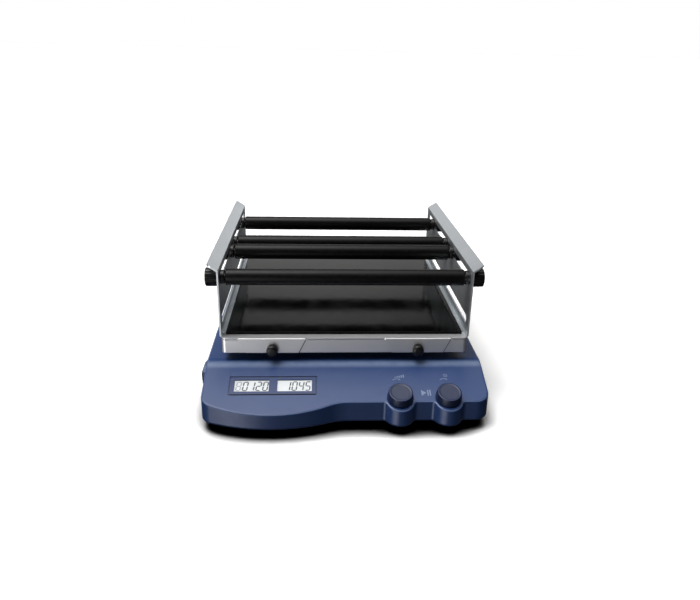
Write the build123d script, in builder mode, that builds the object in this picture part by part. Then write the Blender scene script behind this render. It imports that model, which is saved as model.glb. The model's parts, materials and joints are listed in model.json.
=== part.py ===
from build123d import *
from math import atan, cos, degrees, radians, sin, sqrt, tan
import os

# Linear shaker for the laboratory bench. A platform slides left and right on two hidden rails,
# driven by an eccentric pin, and carries a tray with side plates and four clamping bars.
# Millimetres. +X is to the right, +Y to the back, +Z up. The origin is on the bench, under
# the middle of the base.

os.makedirs("parts", exist_ok=True)

# Base housing
base_half_width = 180.4
base_front = -201.5
base_rear = 205.0
housing_bottom = 13.0
deck_z = 64.6
panel_front_z = 41.4
panel_slope = 19.0
ridge_radius = 45.0
housing_wall = 3.5
rim_radius = 2.5
foot_edge_radius = 3.8
rear_corner_radius = 20.0
right_corner_radius = 18.0
left_corner_radius = 18.0
display_bulge_inset = 86.7
display_bulge_depth = 18.6
display_bulge_radius = 190.0
display_bulge_blend = 60.0
knob_bulge_radius = 18.5
knob_bulge_shift = 1.7
knob_bulge_blend = 5.0

# Clearances
running_gap = 0.05
seat_gap = 0.3

# Bottom plate, bosses, feet and the screws that hold them
bottom_plate_thickness = 2.0
boss_inset = 15.0
front_boss_inset = 116.5
middle_boss_inset = 155.0
rear_boss_inset = 22.0
boss_radius = 4.5
screw_radius = 2.0
screw_length = 12.0
screw_head_radius = 3.8
screw_head_height = 2.4
screw_hole_radius = 2.2
foot_side_inset = 37.0
foot_front_inset = 38.5
foot_rear_inset = 27.0
foot_radius = 14.0
foot_taper = 4.0
foot_recess_depth = 7.0
foot_recess_radius = 5.5

# Display in the panel
display_inset = 88.0
display_up = 28.3
display_width = 110.8
display_height = 31.4
display_pocket_depth = 1.3
display_seam = 1.3
display_corner_radius = 1.0
bezel_proud = 0.2
window_width = 43.4
window_height = 19.2
window_pitch = 53.8
window_corner_radius = 0.6
lcd_margin = 2.0
lcd_thickness = 4.0
board_thickness = 1.6
display_board_width = 124.0
display_board_height = 40.0
board_post_radius = 3.0
board_post_inset_x = 6.0
board_post_inset_y = 3.5
driver_chip_pitch = 34.0
driver_chip_length = 14.0
driver_chip_width = 10.0
driver_chip_height = 2.0

# Knobs and their encoders
time_knob_inset = 53.15
knob_pitch = 60.85
knob_up = 6.0
knob_height = 11.6
knob_gap = 1.6
knob_face_radius = 14.9
knob_skirt_radius = 16.8
knob_wall = 2.2
knob_push = 1.0
knob_hub_radius = 5.5
knob_edge_radius = 1.6
knob_hub_sink = 1.0
knob_bore_gap = 0.2
shaft_radius = 3.0
shaft_top = 9.0
bushing_radius = 3.6
bushing_top = 3.0
encoder_width = 12.5
encoder_depth = 6.5
encoder_corner_radius = 1.0
encoder_floor = 1.0

# Power switch on the left side
switch_inset = 70.0
switch_z = 46.5
switch_boss_length = 36.0
switch_boss_height = 23.0
switch_boss_proud = 4.0
switch_boss_radius = 6.0
switch_boss_fillet = 3.0
switch_frame_length = 30.0
switch_frame_height = 17.0
switch_frame_proud = 0.8
switch_frame_lip = 1.2
switch_frame_radius = 1.5
switch_depth = 18.0
rocker_length = 23.0
rocker_height = 11.0
rocker_clearance = 1.1
rocker_swing = 7.5
rocker_pivot_depth = 4.8
rocker_end_rise = -0.4
rocker_dish = 1.0
rocker_end_height = 2.7
rocker_neck = 5.0
rocker_neck_depth = 2.0
rocker_pin_radius = 1.0
rocker_pin_reach = 0.3

# Rear wall
rear_socket_z = 33.0
inlet_inset = 65.0
inlet_width = 31.0
inlet_height = 24.0
inlet_radius = 2.0
inlet_flange = 2.5
inlet_flange_rim = 1.8
inlet_body_depth = 24.0
inlet_recess_width = 24.0
inlet_recess_height = 16.0
inlet_recess_depth = 17.0
inlet_recess_radius = 3.0
inlet_pin_length = 11.0
inlet_pin_width = 2.0
inlet_pin_height = 4.0
inlet_pin_pitch = 7.0
inlet_pin_offset = 2.0
serial_inset = 65.0
serial_width = 31.0
serial_height = 12.6
serial_corner_radius = 1.5
serial_ear_pitch = 25.0
serial_nut_radius = 2.4
serial_plate = 1.2
serial_shell_width = 17.0
serial_shell_height = 8.6
serial_shell_radius = 2.0
serial_shell_proud = 5.8
serial_body_rim = 0.5
serial_body_depth = 9.0

# Guide rails, bearings and carriage
stroke = 10.0
rail_span = 180.0
rail_z = 34.0
rail_radius = 5.0
rail_length = 296.0
support_length = 16.0
support_width = 24.0
support_top = 44.0
bearing_pitch = 200.0
bearing_radius = 9.5
bearing_length = 29.0
block_length = 32.0
block_width = 28.0
block_height = 24.0
carriage_thickness = 3.0
carriage_margin = 4.0
carriage_window = 110.0
carriage_window_width = 46.0
carriage_window_x = 68.0
carriage_window_radius = 4.0
carriage_corner_radius = 6.0
carriage_slot_margin = 2.0
carriage_slot_radius = 3.0

# Eccentric drive
crank_throw = 5.0
crank_radius = 5.0
pin_radius = 4.0
roller_radius = 8.0
roller_height = 5.5
web_radius = 15.0
web_height = 2.5
crank_housing_radius = 16.0
crank_housing_height = 17.0
crank_flange_radius = 24.0
crank_flange_height = 4.0
pulley_bottom = 33.5
pulley_height = 8.0
crank_pulley_radius = 34.5
motor_pulley_radius = 11.5
pulley_flange = 2.0
pulley_flange_thickness = 0.7
belt_thickness = 1.5
belt_gap = 0.3
counterweight_radius = 33.0
counterweight_inner = 18.0
counterweight_height = 5.0
yoke_height = 4.0
yoke_length = 60.0
yoke_width = 50.0
yoke_slot_side_gap = 0.5
yoke_corner_radius = 4.0
yoke_slot_radius = 2.0

# Motor
motor_x = -105.0
motor_radius = 27.0
motor_height = 14.0
motor_edge_radius = 1.5
motor_shaft_radius = 4.0
mount_thickness = 2.0
mount_length = 84.0
mount_width = 58.0
mount_corner_radius = 5.0

# Electronics on the bottom plate
supply_x = 82.0
supply_length = 64.0
supply_width = 110.0
transformer_length = 30.0
transformer_width = 26.0
transformer_offset_x = -8.0
transformer_offset_y = 20.0
heat_sink_thickness = 4.0
heat_sink_length = 90.0
heat_sink_offset = 26.0
capacitor_radius = 8.0
capacitor_pitch = 20.0
capacitor_offset_x = -6.0
capacitor_offset_y = -24.0
supply_part_height = 19.0
control_x = -10.0
control_front_inset = 81.5
control_length = 190.0
control_width = 56.0
chip_size = 16.0
chip_pitch = 42.0
chip_height = 5.0
connector_thickness = 8.0
connector_length = 34.0
connector_inset = 11.0
standoff_height = 6.0
standoff_radius = 3.0
standoff_inset = 4.0

# Posts and platform
post_radius = 7.0
post_slot_gap = 1.5
platform_half_width = 160.2
platform_half_depth = 176.7
platform_rear_overhang = 15.2
platform_bottom = 76.2
platform_top = 95.1
platform_sheet = 2.0
platform_corner_radius = 5.0
platform_bend_radius = 1.8
post_screw_radius = 2.5
post_screw_length = 14.0
hex_socket_radius = 1.4
hex_socket_depth = 2.0

# Tray on the platform
tray_sheet = 1.5
tab_x = 95.0
tab_top_width = 87.0
tab_drop = 20.0
tab_slant = 9.5
tab_bend_radius = 1.4
tab_relief_radius = 1.2
thumb_x = 95.0
thumb_z = 81.6
thumb_radius = 7.6
thumb_height = 9.0
thumb_dome_radius = 3.8
thumb_shank_radius = 3.0
thumb_shank_length = 12.0

# Side plates
plate_inner_x = 160.5
plate_sheet = 2.0
plate_half_depth = 173.2
plate_foot = 14.0
plate_foot_setback = 12.0
bend_z = 185.8
flange_out = 12.5
flange_up = 8.3
bend_radius = 2.5
flange_corner_radius = 6.0
slot_height = 11.0
slot_end = 159.9
lower_slot_z = 115.5

# Mat
mat_half_width = 155.9
mat_half_depth = 164.3
mat_thickness = 3.4
mat_corner_radius = 3.0
mat_edge_radius = 0.6

# Clamping bars, measured from the middle of the platform
bar_z = 173.0
front_bar_offset = -154.4
second_bar_offset = -47.2
third_bar_offset = -2.5
rear_bar_offset = 108.3
rod_radius = 4.0
collar_radius = 9.0
collar_length = 5.5
sleeve_gap = 1.3
sleeve_radius = 10.7
sleeve_chamfer = 1.5
clamp_radius = 12.3
clamp_length = 16.0
clamp_chamfer = 1.6
clamp_end_wall = 3.0
clamp_flutes = 8
clamp_flute_radius = 2.2
clamp_flute_depth = 1.2

# Heights and places that follow from the sizes above
slope = radians(panel_slope)
platform_y = base_rear + platform_rear_overhang - platform_half_depth
display_bulge_x = -base_half_width + display_bulge_inset
display_x = -base_half_width + display_inset
time_x = base_half_width - time_knob_inset
speed_x = time_x - knob_pitch
knob_y = base_front + knob_up * cos(slope)
knob_bulge_y = knob_y - knob_bulge_shift
boss_x = base_half_width - boss_inset
boss_ys = (base_front + front_boss_inset, base_rear - middle_boss_inset, base_rear - rear_boss_inset)
foot_x = base_half_width - foot_side_inset
foot_ys = (base_front + foot_front_inset, base_rear - foot_rear_inset)
switch_y = base_front + switch_inset
inlet_x = -base_half_width + inlet_inset
serial_x = base_half_width - serial_inset
control_y = base_front + control_front_inset
bar_offsets = (front_bar_offset, second_bar_offset, third_bar_offset, rear_bar_offset)
plate_top = housing_bottom + bottom_plate_thickness
ridge_y = base_front + (deck_z - panel_front_z) / tan(slope)
block_top = rail_z + block_height / 2
carriage_top = block_top + carriage_thickness
post_top = platform_top - platform_sheet
tray_top = platform_top + tray_sheet
pulley_top = pulley_bottom + pulley_height
plate_outer_x = plate_inner_x + plate_sheet
panel_plane = Plane(
    origin=(0, base_front, panel_front_z),
    x_dir=(1, 0, 0),
    z_dir=(0, -sin(slope), cos(slope)),
)


def nearest(shape, x, y):
    """The vertex of a flat sketch that lies nearest to a point."""
    return shape.vertices().sort_by_distance((x, y, 0))[0]


def base_outline(inset):
    """Plan of the base, drawn inset from its outer face."""
    arc_y = base_front - display_bulge_depth + display_bulge_radius
    left_run = base_half_width + display_bulge_x
    left_y = arc_y - sqrt(display_bulge_radius**2 - left_run**2)
    half_chord = sqrt(display_bulge_radius**2 - (arc_y - base_front) ** 2)
    right_x = display_bulge_x + half_chord
    bulge_reach = sqrt(knob_bulge_radius**2 - (knob_bulge_y - base_front) ** 2)
    with BuildSketch() as outline:
        with BuildLine():
            ThreePointArc(
                (-base_half_width, left_y),
                (display_bulge_x, base_front - display_bulge_depth),
                (right_x, base_front),
            )
            Polyline(
                (right_x, base_front),
                (base_half_width, base_front),
                (base_half_width, base_rear),
                (-base_half_width, base_rear),
                (-base_half_width, left_y),
            )
        make_face()
        with Locations((speed_x, knob_bulge_y), (time_x, knob_bulge_y)):
            Circle(knob_bulge_radius)
        fillet(nearest(outline, right_x, base_front), display_bulge_blend)
        fillet(nearest(outline, -base_half_width, left_y), left_corner_radius)
        fillet(nearest(outline, base_half_width, base_front), right_corner_radius)
        fillet(nearest(outline, base_half_width, base_rear), rear_corner_radius)
        fillet(nearest(outline, -base_half_width, base_rear), rear_corner_radius)
        for knob_x in (speed_x, time_x):
            for side in (-1, 1):
                corner = nearest(outline, knob_x + side * bulge_reach, base_front)
                fillet(corner, knob_bulge_blend)
        if inset:
            offset(amount=-inset)
    return outline.sketch


def space_above(inset):
    """Side view of the air above the deck and the panel, lowered by the inset."""
    front_y = base_front - 2 * display_bulge_depth
    deck = deck_z - inset
    ridge = ridge_y + inset * tan(slope / 2)
    front_z = deck - (ridge - front_y) * tan(slope)
    with BuildSketch() as air:
        with BuildLine():
            Polyline(
                (front_y, front_z),
                (ridge, deck),
                (base_rear + deck_z, deck),
                (base_rear + deck_z, 2 * deck_z),
                (front_y, 2 * deck_z),
                (front_y, front_z),
            )
        make_face()
        fillet(nearest(air, ridge, deck), ridge_radius - inset)
    return air.sketch


def base_block(inset):
    """Solid under the deck and the panel, drawn inset from the outer face."""
    with BuildPart() as block:
        with BuildSketch(Plane.XY.offset(housing_bottom)):
            add(base_outline(inset))
        extrude(amount=deck_z - housing_bottom)
        with BuildSketch(Plane.YZ):
            add(space_above(inset))
        extrude(amount=2 * base_half_width, both=True, mode=Mode.SUBTRACT)
    return block.part


def rounded_box(plane, width, height, depth, radius):
    """Box with four rounded corners, standing on a plane."""
    with BuildPart() as box:
        with BuildSketch(plane):
            RectangleRounded(width, height, radius)
        extrude(amount=depth)
    return box.part


# Base housing: a moulded shell, open below
left_wall = Plane(origin=(-base_half_width, switch_y, switch_z), x_dir=(0, -1, 0), z_dir=(-1, 0, 0))
rear_wall = Plane(origin=(0, base_rear, rear_socket_z), x_dir=(-1, 0, 0), z_dir=(0, 1, 0))
boss_places = [(side * boss_x, y) for side in (-1, 1) for y in boss_ys]
foot_places = [(side * foot_x, y) for side in (-1, 1) for y in foot_ys]
lcd_width = window_width + 2 * lcd_margin
lcd_height = window_height + 2 * lcd_margin
display_opening_width = window_pitch + lcd_width + 2 * seat_gap
display_opening_height = lcd_height + 2 * seat_gap
lcd_top = bezel_proud - display_pocket_depth - bezel_proud
board_top = lcd_top - lcd_thickness
inlet_body_width = inlet_width - 2 * inlet_flange_rim
inlet_body_height = inlet_height - 2 * inlet_flange_rim
serial_body_width = serial_shell_width + 2 * serial_body_rim
serial_body_height = serial_shell_height + 2 * serial_body_rim

with BuildPart() as base_housing:
    add(base_block(0))
    top_faces = base_housing.faces().filter_by(lambda f: f.normal_at().Z > 0.5)
    seams = top_faces.edges().filter_by(Axis.X)
    seams = seams.filter_by(lambda e: base_front + rim_radius < e.center().Y < base_rear - rim_radius)
    rim = top_faces.edges() - seams
    fillet(rim, rim_radius)
    foot_edges = base_housing.faces().sort_by(Axis.Z)[0].edges()
    fillet(foot_edges, foot_edge_radius)
    add(
        rounded_box(
            left_wall,
            switch_boss_length,
            switch_boss_height,
            switch_boss_proud,
            switch_boss_radius,
        )
    )
    boss_face = base_housing.faces().sort_by(Axis.X)[0]
    fillet(boss_face.edges(), switch_boss_fillet)
    add(base_block(housing_wall), mode=Mode.SUBTRACT)
    with BuildSketch(Plane.XY.offset(plate_top)):
        with Locations(*boss_places):
            Circle(boss_radius)
    extrude(amount=deck_z - plate_top - housing_wall / 2)
    with BuildSketch(Plane.XY.offset(plate_top)):
        with Locations(*boss_places):
            Circle(screw_radius)
    extrude(amount=screw_length, mode=Mode.SUBTRACT)
    with BuildSketch(panel_plane.offset(board_top)):
        with Locations((display_x, display_up)):
            with GridLocations(
                display_board_width - 2 * board_post_inset_x,
                display_board_height - 2 * board_post_inset_y,
                2,
                2,
            ):
                Circle(board_post_radius)
    extrude(amount=-board_top - housing_wall / 2)
    with BuildSketch(Plane.XY.offset(deck_z)):
        with Locations((0, platform_y)):
            with GridLocations(bearing_pitch, rail_span, 2, 2):
                SlotOverall(
                    2 * (post_radius + post_slot_gap) + stroke + post_slot_gap,
                    2 * (post_radius + post_slot_gap),
                )
    extrude(amount=-2 * housing_wall, mode=Mode.SUBTRACT)
    with BuildSketch(panel_plane):
        with Locations((display_x, display_up)):
            RectangleRounded(display_width, display_height, display_corner_radius)
    extrude(amount=-display_pocket_depth, mode=Mode.SUBTRACT)
    with BuildSketch(panel_plane):
        with Locations((display_x, display_up)):
            Rectangle(display_opening_width, display_opening_height)
        with Locations((speed_x, knob_up), (time_x, knob_up)):
            Circle(bushing_radius + running_gap)
    extrude(amount=-2 * housing_wall, mode=Mode.SUBTRACT)
    with BuildSketch(left_wall.offset(switch_boss_proud)):
        Rectangle(
            switch_frame_length - 2 * switch_frame_lip + 2 * running_gap,
            switch_frame_height - 2 * switch_frame_lip + 2 * running_gap,
        )
    extrude(amount=-switch_boss_proud - 2 * housing_wall, mode=Mode.SUBTRACT)
    with BuildSketch(rear_wall):
        with Locations((-inlet_x, 0)):
            Rectangle(inlet_body_width + 2 * seat_gap, inlet_body_height + 2 * seat_gap)
        with Locations((-serial_x, 0)):
            Rectangle(serial_body_width + 2 * seat_gap, serial_body_height + 2 * seat_gap)
    extrude(amount=-2 * housing_wall, mode=Mode.SUBTRACT)
base_housing.part.label = "base_housing"
export_step(base_housing.part, "parts/base_housing.step")

# Bottom plate inside the housing's wall, with holes for the screws
with BuildPart() as bottom_plate:
    with BuildSketch(Plane.XY.offset(housing_bottom)):
        add(base_outline(housing_wall + seat_gap))
        with Locations(*boss_places, *foot_places):
            Circle(screw_hole_radius, mode=Mode.SUBTRACT)
    extrude(amount=bottom_plate_thickness)
bottom_plate.part.label = "bottom_plate"
export_step(bottom_plate.part, "parts/bottom_plate.step")

# Four rubber feet with a recess for the screw's head
with BuildPart() as rubber_feet:
    with BuildSketch():
        with Locations(*foot_places):
            Circle(foot_radius)
    extrude(amount=housing_bottom, taper=foot_taper)
    with BuildSketch():
        with Locations(*foot_places):
            Circle(foot_recess_radius)
    extrude(amount=foot_recess_depth, mode=Mode.SUBTRACT)
    with BuildSketch():
        with Locations(*foot_places):
            Circle(screw_hole_radius)
    extrude(amount=housing_bottom, mode=Mode.SUBTRACT)
rubber_feet.part.label = "rubber_feet"
export_step(rubber_feet.part, "parts/rubber_feet.step")


def head_screws(places, head_top):
    """Pan-head screws that point up, each head just under a given height."""
    with BuildPart() as screws:
        with BuildSketch(Plane.XY.offset(head_top - screw_head_height)):
            with Locations(*places):
                Circle(screw_head_radius)
        extrude(amount=screw_head_height)
        with BuildSketch(Plane.XY.offset(head_top)):
            with Locations(*places):
                Circle(screw_radius)
        extrude(amount=screw_length)
    return screws.part


# Screws of the bottom plate and of the feet
with BuildPart() as base_screws:
    add(head_screws(boss_places, housing_bottom))
    add(head_screws(foot_places, foot_recess_depth))
base_screws.part.label = "base_screws"
export_step(base_screws.part, "parts/base_screws.step")

# Display: bezel in its pocket, two LCD panels behind it, and their board
with BuildPart() as display_bezel:
    with BuildSketch(panel_plane.offset(-display_pocket_depth)):
        with Locations((display_x, display_up)):
            RectangleRounded(
                display_width - 2 * display_seam,
                display_height - 2 * display_seam,
                display_corner_radius,
            )
            with GridLocations(window_pitch, 0, 2, 1):
                RectangleRounded(
                    window_width, window_height, window_corner_radius, mode=Mode.SUBTRACT
                )
    extrude(amount=display_pocket_depth + bezel_proud)
display_bezel.part.label = "display_bezel"
export_step(display_bezel.part, "parts/display_bezel.step")

with BuildPart() as lcd_panels:
    with BuildSketch(panel_plane.offset(board_top)):
        with Locations((display_x, display_up)):
            with GridLocations(window_pitch, 0, 2, 1):
                Rectangle(lcd_width, lcd_height)
    extrude(amount=lcd_thickness)
lcd_panels.part.label = "lcd_panels"
export_step(lcd_panels.part, "parts/lcd_panels.step")

with BuildPart() as display_board:
    with BuildSketch(panel_plane.offset(board_top - board_thickness)):
        with Locations((display_x, display_up)):
            Rectangle(display_board_width, display_board_height)
    extrude(amount=board_thickness)
    with BuildSketch(panel_plane.offset(board_top - board_thickness)):
        with Locations((display_x, display_up)):
            with GridLocations(driver_chip_pitch, 0, 3, 1):
                Rectangle(driver_chip_length, driver_chip_width)
    extrude(amount=-driver_chip_height)
display_board.part.label = "display_board"
export_step(display_board.part, "parts/display_board.step")

# Encoders under the panel, each with a bushing through it
with BuildPart() as encoders:
    with BuildSketch(panel_plane.offset(-housing_wall)):
        with Locations((speed_x, knob_up), (time_x, knob_up)):
            RectangleRounded(encoder_width, encoder_width, encoder_corner_radius)
    extrude(amount=-encoder_depth)
    with BuildSketch(panel_plane.offset(-housing_wall)):
        with Locations((speed_x, knob_up), (time_x, knob_up)):
            Circle(bushing_radius)
    extrude(amount=housing_wall + bushing_top)
    with BuildSketch(panel_plane.offset(bushing_top)):
        with Locations((speed_x, knob_up), (time_x, knob_up)):
            Circle(shaft_radius + running_gap)
    extrude(amount=-bushing_top - housing_wall - encoder_depth + encoder_floor, mode=Mode.SUBTRACT)
encoders.part.label = "encoders"
export_step(encoders.part, "parts/encoders.step")


def encoder_shaft(knob_x):
    """Shaft that turns in the encoder's bushing."""
    bottom = -housing_wall - encoder_depth + encoder_floor + seat_gap
    with BuildPart() as shaft:
        with BuildSketch(panel_plane.offset(bottom)):
            with Locations((knob_x, knob_up)):
                Circle(shaft_radius)
        extrude(amount=shaft_top - bottom)
    return shaft


def control_knob(knob_x):
    """Round tapered knob, hollow below, with a hub that slides on the encoder's shaft."""
    height = knob_height - knob_gap
    taper_angle = degrees(atan((knob_skirt_radius - knob_face_radius) / height))
    with BuildPart() as knob:
        with BuildSketch(panel_plane.offset(knob_gap)):
            with Locations((knob_x, knob_up)):
                Circle(knob_skirt_radius)
        extrude(amount=height, taper=taper_angle)
        face = knob.faces().filter_by(lambda f: f.normal_at().Z > 0.5).sort_by(Axis.Z)[-1]
        fillet(face.edges(), knob_edge_radius)
        with BuildSketch(panel_plane.offset(knob_gap)):
            with Locations((knob_x, knob_up)):
                Circle(knob_face_radius - knob_wall)
        extrude(amount=height - knob_wall, mode=Mode.SUBTRACT)
        hub_bottom = bushing_top + knob_push + seat_gap
        with BuildSketch(panel_plane.offset(hub_bottom)):
            with Locations((knob_x, knob_up)):
                Circle(knob_hub_radius)
        extrude(amount=knob_height - knob_hub_sink - hub_bottom)
        with BuildSketch(panel_plane):
            with Locations((knob_x, knob_up)):
                Circle(shaft_radius + running_gap)
        extrude(amount=shaft_top + knob_push + knob_bore_gap, mode=Mode.SUBTRACT)
    return knob


speed_shaft = encoder_shaft(speed_x)
speed_shaft.part.label = "speed_shaft"
export_step(speed_shaft.part, "parts/speed_shaft.step")

time_shaft = encoder_shaft(time_x)
time_shaft.part.label = "time_shaft"
export_step(time_shaft.part, "parts/time_shaft.step")

speed_knob = control_knob(speed_x)
speed_knob.part.label = "speed_knob"
export_step(speed_knob.part, "parts/speed_knob.step")

time_knob = control_knob(time_x)
time_knob.part.label = "time_knob"
export_step(time_knob.part, "parts/time_knob.step")

# Power switch: a frame through the boss, and a rocker that tips about an upright pin
frame_face = left_wall.offset(switch_boss_proud)
rocker_pivot_x = -base_half_width - switch_boss_proud - switch_frame_proud + rocker_pivot_depth
rocker_pivot = Plane(
    origin=(rocker_pivot_x, switch_y, switch_z),
    x_dir=(sin(radians(rocker_swing)), cos(radians(rocker_swing)), 0),
    z_dir=(0, 0, 1),
)
pin_length = rocker_height + 2 * rocker_clearance

with BuildPart() as switch_frame:
    with BuildSketch(frame_face):
        RectangleRounded(switch_frame_length, switch_frame_height, switch_frame_radius)
    extrude(amount=switch_frame_proud)
    with BuildSketch(frame_face):
        Rectangle(
            switch_frame_length - 2 * switch_frame_lip,
            switch_frame_height - 2 * switch_frame_lip,
        )
    extrude(amount=-switch_depth)
    with BuildSketch(frame_face.offset(switch_frame_proud)):
        Rectangle(rocker_length + 2 * rocker_clearance, rocker_height + 2 * rocker_clearance)
    extrude(amount=-switch_depth + switch_frame_lip, mode=Mode.SUBTRACT)
    with BuildSketch(rocker_pivot):
        Circle(rocker_pin_radius + running_gap)
    extrude(amount=pin_length / 2 + 2 * rocker_pin_reach, both=True, mode=Mode.SUBTRACT)
switch_frame.part.label = "switch_frame"
export_step(switch_frame.part, "parts/switch_frame.step")

rocker_end = rocker_length / 2
rocker_top = rocker_pivot_depth + rocker_end_rise
with BuildPart() as power_rocker:
    with BuildSketch(rocker_pivot):
        with BuildLine():
            Polyline(
                (-rocker_neck, -rocker_neck_depth),
                (rocker_neck, -rocker_neck_depth),
                (rocker_end, rocker_top - rocker_end_height),
                (rocker_end, rocker_top),
                (0, rocker_top - rocker_dish),
                (-rocker_end, rocker_top),
                (-rocker_end, rocker_top - rocker_end_height),
                (-rocker_neck, -rocker_neck_depth),
            )
        make_face()
    extrude(amount=rocker_height / 2, both=True)
    with BuildSketch(rocker_pivot):
        Circle(rocker_pin_radius)
    extrude(amount=pin_length / 2 + rocker_pin_reach, both=True)
power_rocker.part.label = "power_rocker"
export_step(power_rocker.part, "parts/power_rocker.step")

# Sockets in the rear wall
with BuildPart() as power_inlet:
    with BuildSketch(rear_wall):
        with Locations((-inlet_x, 0)):
            RectangleRounded(inlet_width, inlet_height, inlet_radius)
    extrude(amount=inlet_flange)
    with BuildSketch(rear_wall):
        with Locations((-inlet_x, 0)):
            Rectangle(inlet_body_width, inlet_body_height)
    extrude(amount=-inlet_body_depth)
    with BuildSketch(rear_wall.offset(inlet_flange)):
        with Locations((-inlet_x, 0)):
            RectangleRounded(inlet_recess_width, inlet_recess_height, inlet_recess_radius)
    extrude(amount=-inlet_recess_depth, mode=Mode.SUBTRACT)
    with BuildSketch(rear_wall.offset(inlet_flange - inlet_recess_depth)):
        with Locations((-inlet_x, 0)):
            with Locations(
                (-inlet_pin_pitch, -inlet_pin_offset),
                (0, inlet_pin_offset),
                (inlet_pin_pitch, -inlet_pin_offset),
            ):
                Rectangle(inlet_pin_width, inlet_pin_height)
    extrude(amount=inlet_pin_length)
power_inlet.part.label = "power_inlet"
export_step(power_inlet.part, "parts/power_inlet.step")

with BuildPart() as serial_port:
    with BuildSketch(rear_wall):
        with Locations((-serial_x, 0)):
            RectangleRounded(serial_width, serial_height, serial_corner_radius)
    extrude(amount=serial_plate)
    with BuildSketch(rear_wall):
        with Locations((-serial_x, 0)):
            RectangleRounded(serial_shell_width, serial_shell_height, serial_shell_radius)
    extrude(amount=serial_shell_proud)
    with BuildSketch(rear_wall):
        with Locations((-serial_x, 0)):
            Rectangle(serial_body_width, serial_body_height)
    extrude(amount=-serial_body_depth)
    with BuildSketch(rear_wall.offset(serial_plate)):
        with Locations((-serial_x, 0)):
            with GridLocations(serial_ear_pitch, 0, 2, 1):
                RegularPolygon(serial_nut_radius, 6)
    extrude(amount=serial_shell_proud - serial_plate)
serial_port.part.label = "serial_port"
export_step(serial_port.part, "parts/serial_port.step")

# Guide rails along the stroke, and the supports that hold their ends
with BuildPart() as guide_rails:
    with BuildSketch(Plane.YZ):
        with Locations((platform_y - rail_span / 2, rail_z), (platform_y + rail_span / 2, rail_z)):
            Circle(rail_radius)
    extrude(amount=rail_length / 2, both=True)
guide_rails.part.label = "guide_rails"
export_step(guide_rails.part, "parts/guide_rails.step")

with BuildPart() as rail_supports:
    with BuildSketch(Plane.XY.offset(plate_top)):
        with Locations((0, platform_y)):
            with GridLocations(rail_length - support_length, rail_span, 2, 2):
                Rectangle(support_length, support_width)
    extrude(amount=support_top - plate_top)
    with BuildSketch(Plane.YZ):
        with Locations((platform_y - rail_span / 2, rail_z), (platform_y + rail_span / 2, rail_z)):
            Circle(rail_radius)
    extrude(amount=rail_length, both=True, mode=Mode.SUBTRACT)
rail_supports.part.label = "rail_supports"
export_step(rail_supports.part, "parts/rail_supports.step")

# Linear bearings and their blocks, two on each rail
with BuildPart() as bearing_blocks:
    with BuildSketch(Plane.XY.offset(rail_z - block_height / 2)):
        with Locations((0, platform_y)):
            with GridLocations(bearing_pitch, rail_span, 2, 2):
                Rectangle(block_length, block_width)
    extrude(amount=block_height)
    with BuildSketch(Plane.YZ):
        with Locations((platform_y - rail_span / 2, rail_z), (platform_y + rail_span / 2, rail_z)):
            Circle(bearing_radius)
    extrude(amount=rail_length, both=True, mode=Mode.SUBTRACT)
bearing_blocks.part.label = "bearing_blocks"
export_step(bearing_blocks.part, "parts/bearing_blocks.step")

with BuildPart() as linear_bearings:
    for side in (-1, 1):
        with BuildSketch(Plane.YZ.offset(side * bearing_pitch / 2)):
            with Locations((platform_y, rail_z)):
                with GridLocations(rail_span, 0, 2, 1):
                    Circle(bearing_radius)
                    Circle(rail_radius + running_gap, mode=Mode.SUBTRACT)
        extrude(amount=bearing_length / 2, both=True)
linear_bearings.part.label = "linear_bearings"
export_step(linear_bearings.part, "parts/linear_bearings.step")

# Carriage plate on the blocks, with a window for the crank pin and two lightening windows
yoke_slot_x = 2 * (roller_radius + crank_throw + stroke / 2 + yoke_slot_side_gap)
yoke_slot_y = 2 * (roller_radius + crank_throw + yoke_slot_side_gap)
with BuildPart() as carriage_plate:
    with BuildSketch(Plane.XY.offset(block_top)):
        with Locations((0, platform_y)):
            RectangleRounded(
                bearing_pitch + block_length + carriage_margin,
                rail_span + block_width + carriage_margin,
                carriage_corner_radius,
            )
            RectangleRounded(
                yoke_slot_x + 2 * carriage_slot_margin,
                yoke_slot_y + 2 * carriage_slot_margin,
                carriage_slot_radius,
                mode=Mode.SUBTRACT,
            )
            with GridLocations(2 * carriage_window_x, 0, 2, 1):
                RectangleRounded(
                    carriage_window_width,
                    carriage_window,
                    carriage_window_radius,
                    mode=Mode.SUBTRACT,
                )
    extrude(amount=carriage_thickness)
carriage_plate.part.label = "carriage_plate"
export_step(carriage_plate.part, "parts/carriage_plate.step")

# Drive yoke: its slot is wide enough for the pin and the carriage to be anywhere in their travel
with BuildPart() as drive_yoke:
    with BuildSketch(Plane.XY.offset(carriage_top)):
        with Locations((0, platform_y)):
            RectangleRounded(yoke_length, yoke_width, yoke_corner_radius)
            RectangleRounded(yoke_slot_x, yoke_slot_y, yoke_slot_radius, mode=Mode.SUBTRACT)
    extrude(amount=yoke_height)
drive_yoke.part.label = "drive_yoke"
export_step(drive_yoke.part, "parts/drive_yoke.step")

# Crank: bearing housing on the bottom plate, eccentric shaft, pulley, counterweight, roller
with BuildPart() as crank_bearing_housing:
    with BuildSketch(Plane.XY.offset(plate_top)):
        with Locations((0, platform_y)):
            Circle(crank_flange_radius)
    extrude(amount=crank_flange_height)
    with BuildSketch(Plane.XY.offset(plate_top)):
        with Locations((0, platform_y)):
            Circle(crank_housing_radius)
    extrude(amount=crank_housing_height)
    with BuildSketch(Plane.XY.offset(plate_top)):
        with Locations((0, platform_y)):
            Circle(crank_radius + running_gap)
    extrude(amount=crank_housing_height, mode=Mode.SUBTRACT)
crank_bearing_housing.part.label = "crank_bearing_housing"
export_step(crank_bearing_housing.part, "parts/crank_bearing_housing.step")

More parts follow.
